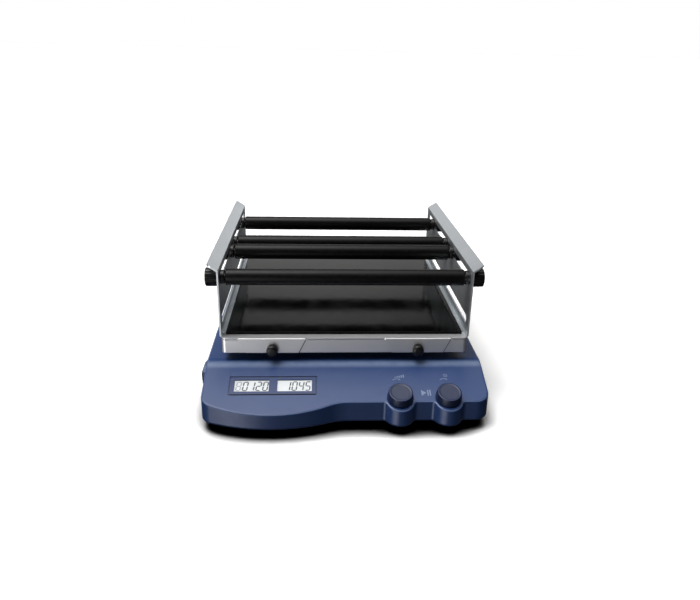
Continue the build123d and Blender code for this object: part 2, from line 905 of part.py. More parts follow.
pin_top = carriage_top + yoke_height
web_bottom = pulley_top + seat_gap
with BuildPart() as crank_shaft:
    with BuildSketch(Plane.XY.offset(plate_top + seat_gap)):
        with Locations((0, platform_y)):
            Circle(crank_radius)
    extrude(amount=web_bottom - plate_top - seat_gap)
    with BuildSketch(Plane.XY.offset(web_bottom)):
        with Locations((0, platform_y)):
            Circle(web_radius)
    extrude(amount=web_height)
    with BuildSketch(Plane.XY.offset(web_bottom)):
        with Locations((0, platform_y + crank_throw)):
            Circle(pin_radius)
    extrude(amount=pin_top - web_bottom)
crank_shaft.part.label = "crank_shaft"
export_step(crank_shaft.part, "parts/crank_shaft.step")

with BuildPart() as pin_roller:
    with BuildSketch(Plane.XY.offset(pin_top - roller_height)):
        with Locations((0, platform_y + crank_throw)):
            Circle(roller_radius)
            Circle(pin_radius, mode=Mode.SUBTRACT)
    extrude(amount=roller_height)
pin_roller.part.label = "pin_roller"
export_step(pin_roller.part, "parts/pin_roller.step")


def belt_pulley(x, y, radius, bore):
    """Flat belt pulley with two thin flanges."""
    with BuildPart() as pulley:
        with BuildSketch(Plane.XY.offset(pulley_bottom)):
            with Locations((x, y)):
                Circle(radius)
        extrude(amount=pulley_height)
        for bottom in (pulley_bottom, pulley_top - pulley_flange_thickness):
            with BuildSketch(Plane.XY.offset(bottom)):
                with Locations((x, y)):
                    Circle(radius + pulley_flange)
            extrude(amount=pulley_flange_thickness)
        with BuildSketch(Plane.XY.offset(pulley_bottom)):
            with Locations((x, y)):
                Circle(bore)
        extrude(amount=pulley_height, mode=Mode.SUBTRACT)
    return pulley


crank_pulley = belt_pulley(0, platform_y, crank_pulley_radius, crank_radius)
crank_pulley.part.label = "crank_pulley"
export_step(crank_pulley.part, "parts/crank_pulley.step")

with BuildPart() as counterweight:
    with BuildSketch(Plane.XY.offset(pulley_bottom - counterweight_height)):
        with Locations((0, platform_y)):
            Circle(counterweight_radius)
            Circle(counterweight_inner, mode=Mode.SUBTRACT)
        with Locations((0, platform_y + counterweight_radius)):
            Rectangle(2 * counterweight_radius, 2 * counterweight_radius, mode=Mode.SUBTRACT)
    extrude(amount=counterweight_height)
counterweight.part.label = "counterweight"
export_step(counterweight.part, "parts/counterweight.step")


def belt_loop(extra):
    """Area inside a belt line that runs at a given distance outside both pulleys."""
    with BuildSketch() as loop:
        with Locations((0, platform_y)):
            Circle(crank_pulley_radius + extra)
        with Locations((motor_x, platform_y)):
            Circle(motor_pulley_radius + extra)
        make_hull()
    return loop.sketch


with BuildPart() as drive_belt:
    with BuildSketch(Plane.XY.offset(pulley_bottom + pulley_flange_thickness + seat_gap)):
        add(belt_loop(belt_gap + belt_thickness))
        add(belt_loop(belt_gap), mode=Mode.SUBTRACT)
    extrude(amount=pulley_height - 2 * pulley_flange_thickness - 2 * seat_gap)
drive_belt.part.label = "drive_belt"
export_step(drive_belt.part, "parts/drive_belt.step")

# Motor on its mount, with its shaft and pulley
motor_bottom = plate_top + mount_thickness
with BuildPart() as motor_mount:
    with BuildSketch(Plane.XY.offset(plate_top)):
        with Locations((motor_x, platform_y)):
            RectangleRounded(mount_length, mount_width, mount_corner_radius)
    extrude(amount=mount_thickness)
motor_mount.part.label = "motor_mount"
export_step(motor_mount.part, "parts/motor_mount.step")

with BuildPart() as motor:
    with BuildSketch(Plane.XY.offset(motor_bottom)):
        with Locations((motor_x, platform_y)):
            Circle(motor_radius)
    extrude(amount=motor_height)
    fillet(motor.faces().sort_by(Axis.Z)[-1].edges(), motor_edge_radius)
    with BuildSketch(Plane.XY.offset(motor_bottom + seat_gap)):
        with Locations((motor_x, platform_y)):
            Circle(motor_shaft_radius + running_gap)
    extrude(amount=motor_height, mode=Mode.SUBTRACT)
motor.part.label = "motor"
export_step(motor.part, "parts/motor.step")

with BuildPart() as motor_shaft:
    with BuildSketch(Plane.XY.offset(motor_bottom + 2 * seat_gap)):
        with Locations((motor_x, platform_y)):
            Circle(motor_shaft_radius)
    extrude(amount=pulley_top - motor_bottom - 2 * seat_gap)
motor_shaft.part.label = "motor_shaft"
export_step(motor_shaft.part, "parts/motor_shaft.step")

motor_pulley = belt_pulley(motor_x, platform_y, motor_pulley_radius, motor_shaft_radius)
motor_pulley.part.label = "motor_pulley"
export_step(motor_pulley.part, "parts/motor_pulley.step")

# Power supply: a board on standoffs with a transformer, a heat sink and capacitors
with BuildPart() as power_supply:
    with BuildSketch(Plane.XY.offset(plate_top)):
        with Locations((supply_x, platform_y)):
            with GridLocations(
                supply_length - 2 * standoff_inset,
                supply_width - 2 * standoff_inset,
                2,
                2,
            ):
                Circle(standoff_radius)
    extrude(amount=standoff_height)
    with BuildSketch(Plane.XY.offset(plate_top + standoff_height)):
        with Locations((supply_x, platform_y)):
            Rectangle(supply_length, supply_width)
    extrude(amount=board_thickness)
    with BuildSketch(Plane.XY.offset(plate_top + standoff_height + board_thickness)):
        with Locations((supply_x + transformer_offset_x, platform_y + transformer_offset_y)):
            Rectangle(transformer_length, transformer_width)
        with Locations((supply_x + heat_sink_offset, platform_y)):
            Rectangle(heat_sink_thickness, heat_sink_length)
        with Locations((supply_x + capacitor_offset_x, platform_y + capacitor_offset_y)):
            with GridLocations(capacitor_pitch, 0, 2, 1):
                Circle(capacitor_radius)
    extrude(amount=supply_part_height)
power_supply.part.label = "power_supply"
export_step(power_supply.part, "parts/power_supply.step")

with BuildPart() as control_board:
    with BuildSketch(Plane.XY.offset(plate_top)):
        with Locations((control_x, control_y)):
            with GridLocations(
                control_length - 2 * standoff_inset,
                control_width - 2 * standoff_inset,
                2,
                2,
            ):
                Circle(standoff_radius)
    extrude(amount=standoff_height)
    with BuildSketch(Plane.XY.offset(plate_top + standoff_height)):
        with Locations((control_x, control_y)):
            Rectangle(control_length, control_width)
    extrude(amount=board_thickness)
    with BuildSketch(Plane.XY.offset(plate_top + standoff_height + board_thickness)):
        with Locations((control_x, control_y)):
            with GridLocations(chip_pitch, 0, 4, 1):
                Rectangle(chip_size, chip_size)
            with GridLocations(control_length - 2 * connector_inset, 0, 2, 1):
                Rectangle(connector_thickness, connector_length)
    extrude(amount=chip_height)
control_board.part.label = "control_board"
export_step(control_board.part, "parts/control_board.step")

# Posts from the carriage plate through the deck to the platform
with BuildPart() as platform_posts:
    with BuildSketch(Plane.XY.offset(carriage_top)):
        with Locations((0, platform_y)):
            with GridLocations(bearing_pitch, rail_span, 2, 2):
                Circle(post_radius)
    extrude(amount=post_top - carriage_top)
    with BuildSketch(Plane.XY.offset(post_top)):
        with Locations((0, platform_y)):
            with GridLocations(bearing_pitch, rail_span, 2, 2):
                Circle(post_screw_radius)
    extrude(amount=-post_screw_length, mode=Mode.SUBTRACT)
platform_posts.part.label = "platform_posts"
export_step(platform_posts.part, "parts/platform_posts.step")

# Platform: a tray of sheet turned upside down, with a folded skirt
with BuildPart() as platform:
    with BuildSketch(Plane.XY.offset(platform_bottom)):
        with Locations((0, platform_y)):
            RectangleRounded(2 * platform_half_width, 2 * platform_half_depth, platform_corner_radius)
    extrude(amount=platform_top - platform_bottom)
    fillet(platform.faces().sort_by(Axis.Z)[-1].edges(), platform_bend_radius)
    with BuildSketch(Plane.XY.offset(platform_bottom)):
        with Locations((0, platform_y)):
            RectangleRounded(
                2 * (platform_half_width - platform_sheet),
                2 * (platform_half_depth - platform_sheet),
                platform_corner_radius - platform_sheet / 2,
            )
    extrude(amount=post_top - platform_bottom, mode=Mode.SUBTRACT)
    with BuildSketch(Plane.XY.offset(platform_top)):
        with Locations((0, platform_y)):
            with GridLocations(bearing_pitch, rail_span, 2, 2):
                Circle(post_screw_radius)
    extrude(amount=-2 * platform_sheet, mode=Mode.SUBTRACT)
    with BuildSketch(Plane.XZ.offset(-platform_y)):
        with Locations((-thumb_x, thumb_z), (thumb_x, thumb_z)):
            Circle(thumb_shank_radius + 2 * running_gap)
    extrude(amount=2 * platform_half_depth, mode=Mode.SUBTRACT)
platform.part.label = "platform"
export_step(platform.part, "parts/platform.step")

# Grub screws that hold the platform on its posts, flush with its top
with BuildPart() as platform_screws:
    with BuildSketch(Plane.XY.offset(platform_top)):
        with Locations((0, platform_y)):
            with GridLocations(bearing_pitch, rail_span, 2, 2):
                Circle(post_screw_radius)
    extrude(amount=-post_screw_length)
    with BuildSketch(Plane.XY.offset(platform_top)):
        with Locations((0, platform_y)):
            with GridLocations(bearing_pitch, rail_span, 2, 2):
                RegularPolygon(hex_socket_radius, 6)
    extrude(amount=-hex_socket_depth, mode=Mode.SUBTRACT)
platform_screws.part.label = "platform_screws"
export_step(platform_screws.part, "parts/platform_screws.step")

# Tray: a sheet on the platform with two tabs folded over each lip
with BuildPart() as flask_tray:
    with BuildSketch(Plane.XY.offset(platform_top)):
        with Locations((0, platform_y)):
            RectangleRounded(2 * platform_half_width, 2 * platform_half_depth, platform_corner_radius)
    extrude(amount=tray_sheet)
    for lip, side in ((platform_y - platform_half_depth, -1), (platform_y + platform_half_depth, 1)):
        lip_plane = Plane(origin=(0, lip, 0), x_dir=(1, 0, 0), z_dir=(0, side, 0))
        up = -side
        with BuildSketch(lip_plane):
            for middle in (-tab_x, tab_x):
                with BuildLine():
                    Polyline(
                        (middle - tab_top_width / 2, up * tray_top),
                        (middle + tab_top_width / 2, up * tray_top),
                        (middle + tab_top_width / 2 - tab_slant, up * (tray_top - tab_drop)),
                        (middle - tab_top_width / 2 + tab_slant, up * (tray_top - tab_drop)),
                        (middle - tab_top_width / 2, up * tray_top),
                    )
                make_face()
        extrude(amount=tray_sheet)
        for middle in (-tab_x, tab_x):
            fold = (middle, lip + side * tray_sheet, tray_top)
            fillet(flask_tray.edges().sort_by_distance(fold)[0], tab_bend_radius)
        with BuildSketch(Plane.XY.offset(platform_top)):
            with Locations((-tab_x, lip), (tab_x, lip)):
                with GridLocations(tab_top_width, 0, 2, 1):
                    Circle(tab_relief_radius)
        extrude(amount=tray_sheet, mode=Mode.SUBTRACT)
    with BuildSketch(Plane.XZ.offset(-platform_y)):
        with Locations((-thumb_x, thumb_z), (thumb_x, thumb_z)):
            Circle(thumb_shank_radius + 2 * running_gap)
    extrude(amount=2 * platform_half_depth, mode=Mode.SUBTRACT)
flask_tray.part.label = "flask_tray"
export_step(flask_tray.part, "parts/flask_tray.step")

# Side plate: foot on the tray, upright wall with two long slots, flange bent outwards. The
# foot stops short of the wall's ends, so the mat hides it
flange_length = sqrt(flange_out**2 + flange_up**2)
lean_x = -flange_up / flange_length * plate_sheet
lean_z = flange_out / flange_length * plate_sheet
inner_bend_z = bend_z + lean_z - (plate_sheet + lean_x) * flange_up / flange_out
with BuildPart() as side_plate_right:
    with BuildSketch(Plane.XZ.offset(-platform_y)) as plate_profile:
        with BuildLine():
            Polyline(
                (plate_outer_x - plate_foot, tray_top),
                (plate_outer_x, tray_top),
                (plate_outer_x, bend_z),
                (plate_outer_x + flange_out, bend_z + flange_up),
                (plate_outer_x + flange_out + lean_x, bend_z + flange_up + lean_z),
                (plate_inner_x, inner_bend_z),
                (plate_inner_x, tray_top + plate_sheet),
                (plate_outer_x - plate_foot, tray_top + plate_sheet),
                (plate_outer_x - plate_foot, tray_top),
            )
        make_face()
        fillet(nearest(plate_profile, plate_outer_x, tray_top), bend_radius)
        fillet(nearest(plate_profile, plate_inner_x, inner_bend_z), bend_radius)
    extrude(amount=plate_half_depth, both=True)
    for end in (-plate_half_depth, plate_half_depth):
        tip_x = plate_outer_x + flange_out + lean_x / 2
        tip_z = bend_z + flange_up + lean_z / 2
        tip = side_plate_right.edges().sort_by_distance((tip_x, platform_y + end, tip_z))[0]
        fillet(tip, flange_corner_radius)
    with BuildSketch(Plane.XY.offset(tray_top)):
        with Locations((plate_inner_x - plate_foot / 2, platform_y)):
            with GridLocations(0, 2 * plate_half_depth, 1, 2):
                Rectangle(plate_foot, 2 * plate_foot_setback)
    extrude(amount=plate_sheet, mode=Mode.SUBTRACT)
    with BuildSketch(Plane.YZ.offset(plate_outer_x + plate_sheet)):
        with Locations((platform_y, bar_z), (platform_y, lower_slot_z)):
            SlotOverall(2 * slot_end, slot_height)
    extrude(amount=-3 * plate_sheet, mode=Mode.SUBTRACT)
side_plate_right.part.label = "side_plate_right"
export_step(side_plate_right.part, "parts/side_plate_right.step")

with BuildPart() as side_plate_left:
    mirror(side_plate_right.part, about=Plane.YZ)
side_plate_left.part.label = "side_plate_left"
export_step(side_plate_left.part, "parts/side_plate_left.step")

# Rubber mat: it lies on the tray and overlaps the feet of the side plates with a thinner rim
with BuildPart() as rubber_mat:
    with BuildSketch(Plane.XY.offset(tray_top)):
        with Locations((0, platform_y)):
            RectangleRounded(2 * mat_half_width, 2 * mat_half_depth, mat_corner_radius)
    extrude(amount=mat_thickness)
    fillet(rubber_mat.faces().sort_by(Axis.Z)[-1].edges(), mat_edge_radius)
    with BuildSketch(Plane.XY.offset(tray_top)):
        with Locations((0, platform_y)):
            Rectangle(3 * mat_half_width, 2 * (plate_half_depth - plate_foot_setback + seat_gap))
            Rectangle(
                2 * (plate_outer_x - plate_foot - seat_gap), 3 * mat_half_depth, mode=Mode.SUBTRACT
            )
    extrude(amount=plate_sheet, mode=Mode.SUBTRACT)
rubber_mat.part.label = "rubber_mat"
export_step(rubber_mat.part, "parts/rubber_mat.step")


def thumb_screw(x):
    """Domed thumb screw through a tab and the lip behind it."""
    tab_face = platform_y - platform_half_depth - tray_sheet
    with BuildPart() as screw:
        with BuildSketch(Plane.XZ.offset(seat_gap - tab_face)):
            with Locations((x, thumb_z)):
                Circle(thumb_radius)
        extrude(amount=thumb_height)
        fillet(screw.faces().sort_by(Axis.Y)[0].edges(), thumb_dome_radius)
        with BuildSketch(Plane.XZ.offset(seat_gap - tab_face)):
            with Locations((x, thumb_z)):
                Circle(thumb_shank_radius)
        extrude(amount=-thumb_shank_length)
    return screw


thumb_screw_left = thumb_screw(-thumb_x)
thumb_screw_left.part.label = "thumb_screw_left"
export_step(thumb_screw_left.part, "parts/thumb_screw_left.step")

thumb_screw_right = thumb_screw(thumb_x)
thumb_screw_right.part.label = "thumb_screw_right"
export_step(thumb_screw_right.part, "parts/thumb_screw_right.step")

# Clamping bars, numbered from the front
collar_end = plate_inner_x - seat_gap
sleeve_end = collar_end - collar_length - sleeve_gap
clamp_start = plate_outer_x + seat_gap
rod_end = clamp_start + clamp_length - clamp_end_wall - seat_gap


def bar_rod(y):
    """Steel rod with a collar inside each side plate."""
    with BuildPart() as rod:
        with BuildSketch(Plane.YZ):
            with Locations((y, bar_z)):
                Circle(rod_radius)
        extrude(amount=rod_end, both=True)
        for side in (-1, 1):
            with BuildSketch(Plane.YZ.offset(side * collar_end)):
                with Locations((y, bar_z)):
                    Circle(collar_radius)
            extrude(amount=-side * collar_length)
    return rod


def bar_sleeve(y):
    """Rubber tube that turns on the rod, with chamfered ends."""
    with BuildPart() as sleeve:
        with BuildSketch(Plane.YZ):
            with Locations((y, bar_z)):
                Circle(sleeve_radius)
        extrude(amount=sleeve_end, both=True)
        chamfer(sleeve.edges().filter_by(GeomType.CIRCLE), sleeve_chamfer)
        with BuildSketch(Plane.YZ):
            with Locations((y, bar_z)):
                Circle(rod_radius + running_gap)
        extrude(amount=sleeve_end, both=True, mode=Mode.SUBTRACT)
    return sleeve


def clamp_knob(y, side):
    """Fluted knob on the end of a rod, outside a side plate."""
    with BuildPart() as knob:
        with BuildSketch(Plane.YZ.offset(side * clamp_start)):
            with Locations((y, bar_z)):
                Circle(clamp_radius)
        extrude(amount=side * clamp_length)
        chamfer(knob.edges().filter_by(GeomType.CIRCLE), clamp_chamfer)
        with BuildSketch(Plane.YZ.offset(side * clamp_start)):
            with Locations((y, bar_z)):
                with PolarLocations(clamp_radius + clamp_flute_radius - clamp_flute_depth, clamp_flutes):
                    Circle(clamp_flute_radius)
        extrude(amount=side * clamp_length, mode=Mode.SUBTRACT)
        with BuildSketch(Plane.YZ.offset(side * clamp_start)):
            with Locations((y, bar_z)):
                Circle(rod_radius + running_gap)
        extrude(amount=side * (clamp_length - clamp_end_wall), mode=Mode.SUBTRACT)
    return knob


for number, offset_y in enumerate(bar_offsets, start=1):
    bar_y = platform_y + offset_y

    rod = bar_rod(bar_y)
    rod.part.label = f"bar_rod_{number}"
    export_step(rod.part, f"parts/bar_rod_{number}.step")

    sleeve = bar_sleeve(bar_y)
    sleeve.part.label = f"bar_sleeve_{number}"
    export_step(sleeve.part, f"parts/bar_sleeve_{number}.step")

    for side, hand in ((-1, "left"), (1, "right")):
        knob = clamp_knob(bar_y, side)
        knob.part.label = f"clamp_knob_{number}_{hand}"
        export_step(knob.part, f"parts/clamp_knob_{number}_{hand}.step")
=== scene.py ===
# %% [markdown]
# # A linear shaker for the laboratory bench
# A dark blue moulded base carries a silver platform that slides left and right. Over the
# platform's rubber mat, four sleeved bars slide in two side plates and hold the load.
# The frame brings every piece at its real size, on the body that it moves with. This
# notebook gives each piece its finish and adds the turned, moulded and printed details.

import json
import math

import bmesh
import bpy
import numpy as np
from mathutils import Matrix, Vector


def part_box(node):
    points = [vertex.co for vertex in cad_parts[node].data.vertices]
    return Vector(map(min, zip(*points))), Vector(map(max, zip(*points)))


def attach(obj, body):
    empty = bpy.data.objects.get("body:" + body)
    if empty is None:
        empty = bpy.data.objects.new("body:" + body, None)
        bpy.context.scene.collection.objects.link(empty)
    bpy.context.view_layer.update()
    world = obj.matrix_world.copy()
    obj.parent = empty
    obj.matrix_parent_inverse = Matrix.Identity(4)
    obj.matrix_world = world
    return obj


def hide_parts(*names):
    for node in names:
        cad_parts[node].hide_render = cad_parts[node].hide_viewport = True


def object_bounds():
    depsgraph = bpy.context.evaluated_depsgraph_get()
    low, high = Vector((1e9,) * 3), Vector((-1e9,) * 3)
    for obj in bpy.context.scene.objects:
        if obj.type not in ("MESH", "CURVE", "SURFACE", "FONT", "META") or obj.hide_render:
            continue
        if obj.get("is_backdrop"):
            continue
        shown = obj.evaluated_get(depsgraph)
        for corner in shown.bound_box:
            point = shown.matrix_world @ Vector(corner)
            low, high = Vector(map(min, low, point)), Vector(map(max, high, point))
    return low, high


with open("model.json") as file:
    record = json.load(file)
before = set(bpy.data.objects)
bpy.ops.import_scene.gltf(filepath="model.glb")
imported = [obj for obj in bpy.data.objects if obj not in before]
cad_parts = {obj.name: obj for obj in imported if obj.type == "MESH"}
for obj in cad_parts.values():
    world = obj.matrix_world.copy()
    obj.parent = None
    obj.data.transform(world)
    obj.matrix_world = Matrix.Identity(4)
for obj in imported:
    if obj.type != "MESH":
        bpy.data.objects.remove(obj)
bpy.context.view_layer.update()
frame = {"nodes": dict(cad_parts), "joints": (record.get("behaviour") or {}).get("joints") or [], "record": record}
scene = bpy.context.scene
joints = {joint["name"]: joint for joint in frame["joints"]}
mm = 0.001

# %% [markdown]
# ## The camera
# The object is seen from the front, a little from its left, from about a metre away and
# from above. A camera could be aimed by a constraint, but that leaves out the slight roll
# that this view has, so it is placed by its position and three turns: yaw, pitch and roll.
# Its matrix has the right, up and backward directions as columns, and numpy's cross product
# gives the one that follows from the other two.

# %% Camera
camera_place = (-0.04290, -0.89333, 0.45473)
camera_yaw = math.radians(3.57)
camera_pitch = math.radians(21.80)
camera_roll = math.radians(1.41)
camera_lens = 33.22


def camera_axes(yaw, pitch, roll):
    """Right, up and forward directions of a camera that is turned, tilted down and rolled."""
    forward = np.array(
        [math.sin(yaw) * math.cos(pitch), math.cos(yaw) * math.cos(pitch), -math.sin(pitch)]
    )
    level = np.array([math.cos(yaw), -math.sin(yaw), 0.0])
    upright = np.cross(level, forward)
    right = math.cos(roll) * level + math.sin(roll) * upright
    up = math.cos(roll) * upright - math.sin(roll) * level
    return right, up, forward


right, up, forward = camera_axes(camera_yaw, camera_pitch, camera_roll)
camera_data = bpy.data.cameras.new("studio_camera")
camera_data.lens = camera_lens
camera_data.sensor_width = 36.0
camera = bpy.data.objects.new("studio_camera", camera_data)
scene.collection.objects.link(camera)
camera.matrix_world = (
    Matrix.Translation(camera_place)
    @ Matrix(np.column_stack([right, up, -forward]).tolist()).to_4x4()
)
scene.camera = camera
print("camera at", camera_place, "lens", camera_lens)

# %% [markdown]
# ## The studio
# The object stands on a white floor that runs out of sight, in a white tent with soft
# boxes above, behind and low on the left. Lamps would do, but their light fades with the
# distance; here all of it comes from the world, so the floor is equally bright everywhere.
# A soft box is a smooth patch of sky: the dot product of the view direction and the patch's
# direction is 1 at its middle, and a Map Range node turns it into brightness. The camera
# itself sees a plain white backdrop.

# %% Floor and world light
floor_size = 60.0
overexposed = 1.3
backdrop_white = (1.0, 1.0, 1.0, 1.0)


def add_node(tree, kind, settings=None, **inputs):
    """Adds a shader node; an input is a number, a colour or another node's socket."""
    made = tree.nodes.new("ShaderNode" + kind)
    for name, value in (settings or {}).items():
        setattr(made, name, value)
    for name, value in inputs.items():
        numbered = name[0] == "i" and name[1:].isdigit()
        socket = made.inputs[int(name[1:]) if numbered else name.replace("_", " ")]
        if isinstance(value, bpy.types.NodeSocket):
            tree.links.new(value, socket)
        else:
            socket.default_value = value
    return made


def soft_box(tree, direction, towards, middle, edge, strength):
    """Brightness of a round soft box: strength within the middle angle, none past the edge."""
    aim = np.array(towards) / np.linalg.norm(towards)
    facing = add_node(
        tree, "VectorMath", {"operation": "DOT_PRODUCT"}, i0=direction, i1=tuple(aim)
    )
    patch = add_node(
        tree, "MapRange", {"interpolation_type": "SMOOTHSTEP"},
        Value=facing.outputs["Value"], From_Min=math.cos(math.radians(edge)),
        From_Max=math.cos(math.radians(middle)), To_Min=0.0, To_Max=strength,
    )
    return patch.outputs["Result"]


soft_boxes = (
    # towards, middle angle, edge angle, strength
    ((-0.35, -0.02, 0.93), 3.0, 24.0, 7.30),
    ((0.00, 0.00, 1.00), 5.0, 34.0, 2.10),
    ((0.02, 0.38, 0.92), 3.0, 18.0, 1.65),
    ((0.00, 1.00, 0.15), 5.0, 24.0, 0.72),
    ((-0.60, -0.75, -0.25), 5.0, 32.0, 4.10),
    ((0.05, -0.90, -0.45), 5.0, 34.0, 0.15),
    ((-0.60, 0.00, 0.80), 5.0, 34.0, 0.60),
    ((-1.00, 0.00, 0.15), 5.0, 45.0, 0.25),
    ((0.42, 0.90, 0.12), 3.0, 20.0, 0.72),
    ((-0.42, 0.90, 0.12), 3.0, 20.0, 0.40),
)
tent_light = 0.035
tent_colour = (1.0, 0.99, 0.98, 1.0)

world = bpy.data.worlds.new("white_tent")
scene.world = world
world.use_nodes = True
sky = world.node_tree
for old in list(sky.nodes):
    sky.nodes.remove(old)
direction = sky.nodes.new("ShaderNodeTexCoord").outputs["Generated"]
light = add_node(sky, "Value").outputs["Value"]
light.default_value = tent_light
for towards, middle, edge, strength in soft_boxes:
    patch = soft_box(sky, direction, towards, middle, edge, strength)
    light = add_node(sky, "Math", {"operation": "ADD"}, i0=light, i1=patch).outputs["Value"]
lamp = add_node(sky, "Background", Strength=light, Color=tent_colour)
backdrop = add_node(sky, "Background", Strength=1.0, Color=backdrop_white)
seen = add_node(sky, "LightPath").outputs["Is Camera Ray"]
mixed = add_node(sky, "MixShader", i0=seen, i1=lamp.outputs[0], i2=backdrop.outputs[0])
add_node(sky, "OutputWorld", Surface=mixed.outputs[0])

half = floor_size / 2
floor_mesh = bpy.data.meshes.new("studio_floor")
floor_mesh.from_pydata(
    [(-half, -half, 0), (half, -half, 0), (half, half, 0), (-half, half, 0)], [], [(0, 1, 2, 3)]
)
floor = bpy.data.objects.new("studio_floor", floor_mesh)
scene.collection.objects.link(floor)
floor.visible_diffuse = False
floor.visible_glossy = False
floor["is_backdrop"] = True
scene.view_settings.view_transform = "Standard"
print("floor of", floor_size, "m,", len(soft_boxes), "soft boxes")

# %% [markdown]
# ## Finishes
# A finish is a node material. A picture could be wrapped round each piece instead, but it
# would need an unwrapped mesh; patterns that are worked out read Object coordinates, which
# are the frame's own metres, so a grain of half a millimetre is that on every piece. The
# helpers below give a noise of a real size, a range of roughness and a bump; a value that
# is the same all over is set on the shader's own socket.

# %% Helpers for finishes
def new_finish(name):
    """An empty finish: its material, node tree, shader and Object coordinates."""
    material = bpy.data.materials.new(name)
    material.use_nodes = True
    tree = material.node_tree
    shader = tree.nodes["Principled BSDF"]
    place = tree.nodes.new("ShaderNodeTexCoord").outputs["Object"]
    return material, tree, shader, place


def noise(tree, place, size, detail=2.0, stretch=(1.0, 1.0, 1.0)):
    """Noise with blobs about size metres across, drawn out where an axis's stretch is above 1."""
    scale = tuple(1.0 / (size * s) for s in stretch)
    mapped = add_node(tree, "Mapping", Vector=place, Scale=scale)
    made = add_node(tree, "TexNoise", Vector=mapped.outputs["Vector"], Scale=1.0, Detail=detail)
    return made.outputs["Fac"]


def spread(tree, value, low, high, start=0.3, end=0.7):
    """Brings a noise value from its usual span, start to end, to the span low to high."""
    made = add_node(
        tree, "MapRange", Value=value, From_Min=start, From_Max=end, To_Min=low, To_Max=high
    )
    return made.outputs["Result"]


def blend_colours(tree, value, first, second):
    """Colour between two colours, by a value from 0 to 1."""
    made = add_node(tree, "Mix", {"data_type": "RGBA"}, i0=value, i6=first, i7=second)
    return made.outputs[2]


def relief(tree, shader, height, depth, strength=1.0):
    """Bumps the surface by a height value times a depth in metres."""
    made = add_node(tree, "Bump", Height=height, Distance=depth, Strength=strength)
    tree.links.new(made.outputs["Normal"], shader.inputs["Normal"])


def srgb(red, green, blue):
    """Linear colour of a screen colour that is given from 0 to 255."""
    screen = np.array([red, green, blue]) / 255.0
    linear = np.where(screen <= 0.04045, screen / 12.92, ((screen + 0.055) / 1.055) ** 2.4)
    return (*linear.tolist(), 1.0)


# %% [markdown]
# ### Moulded plastics
# The housing is moulded with a fine spark-eroded grain that makes its gloss satin. One
# flat colour would look like a drawing, so two noises work on it: one of a third of a
# millimetre for the grain, and a broad one that shifts the colour and the roughness a
# little, as handling and the mould's flow do. On the real housing the ridge and the rounded
# rims look paler from highlights of the studio's light. Soft boxes alone didn't bring that
# out, so the finish paints those highlights into the colour. The surface's normal tells
# where a rim is, so the painted highlight follows the shape and needs no mask drawn by hand.

# %% Moulded plastics
def moulded(name, colour, deep, rough, grain=0.00035, grain_depth=0.00002):
    """Satin moulded plastic: a broad drift between two colours, and a fine grain."""
    material, tree, shader, place = new_finish(name)
    drift = noise(tree, place, 0.06, 3.0)
    tone = blend_colours(tree, spread(tree, drift, 0.0, 1.0), deep, colour)
    tree.links.new(tone, shader.inputs["Base Color"])
    smears = noise(tree, place, 0.012, 4.0)
    tree.links.new(spread(tree, smears, rough - 0.03, rough + 0.04), shader.inputs["Roughness"])
    relief(tree, shader, noise(tree, place, grain, 2.0), grain_depth, 0.35)
    return material


rim_rise = (0.66, 0.82)
rim_fall = (0.87, 0.93)
ridge_y = -139.0 * mm
ridge_width = 8.0 * mm


def paint_rim_highlights(material, tone, pale, facing):
    """Paints a highlight into the colour along the ridge and on the rounded rims.

    A rim is where the surface's normal leans away from the panel's by a middle angle: the
    dot product of the two, brought through a rise and a fall. The ridge is where y is near
    the ridge's own, on surfaces that face up.
    """
    tree = material.node_tree
    shader = tree.nodes["Principled BSDF"]
    source = tree.nodes.new("ShaderNodeTexCoord")
    lean = add_node(
        tree, "VectorMath", {"operation": "DOT_PRODUCT"}, i0=source.outputs["Normal"], i1=facing
    ).outputs["Value"]
    rise = spread(tree, lean, 0.0, 1.0, *rim_rise)
    fall = spread(tree, lean, 1.0, 0.0, *rim_fall)
    rim = add_node(tree, "Math", {"operation": "MULTIPLY"}, i0=rise, i1=fall).outputs[0]
    along = add_node(tree, "SeparateXYZ", Vector=source.outputs["Object"]).outputs["Y"]
    off = add_node(tree, "Math", {"operation": "SUBTRACT"}, i0=along, i1=ridge_y).outputs[0]
    off = add_node(tree, "Math", {"operation": "ABSOLUTE"}, i0=off).outputs[0]
    near = spread(tree, off, 1.0, 0.0, 0.2 * ridge_width, ridge_width)
    upward = spread(tree, lean, 0.0, 1.0, 0.7, 0.9)
    ridge = add_node(tree, "Math", {"operation": "MULTIPLY"}, i0=near, i1=upward).outputs[0]
    # painted highlight: ridge and rims are lightened in the colour, standing for light
    painted_highlight = add_node(tree, "Math", {"operation": "MAXIMUM"}, i0=rim, i1=ridge).outputs[0]
    uneven = spread(tree, noise(tree, source.outputs["Object"], 0.01, 3.0), 0.75, 1.0)
    painted_highlight = add_node(tree, "Math", {"operation": "MULTIPLY"}, i0=painted_highlight, i1=uneven).outputs[0]
    mixed = blend_colours(tree, painted_highlight, tone, pale)
    tree.links.new(mixed, shader.inputs["Base Color"])


# The control panel: its slope, its directions, and the middle of its lower edge
panel_slope = math.radians(19.0)
panel_foot = np.array((0.0, -201.5, 41.4)) * mm
panel_across = (1.0, 0.0, 0.0)
panel_up = (0.0, math.cos(panel_slope), math.sin(panel_slope))
panel_normal = (0.0, -math.sin(panel_slope), math.cos(panel_slope))

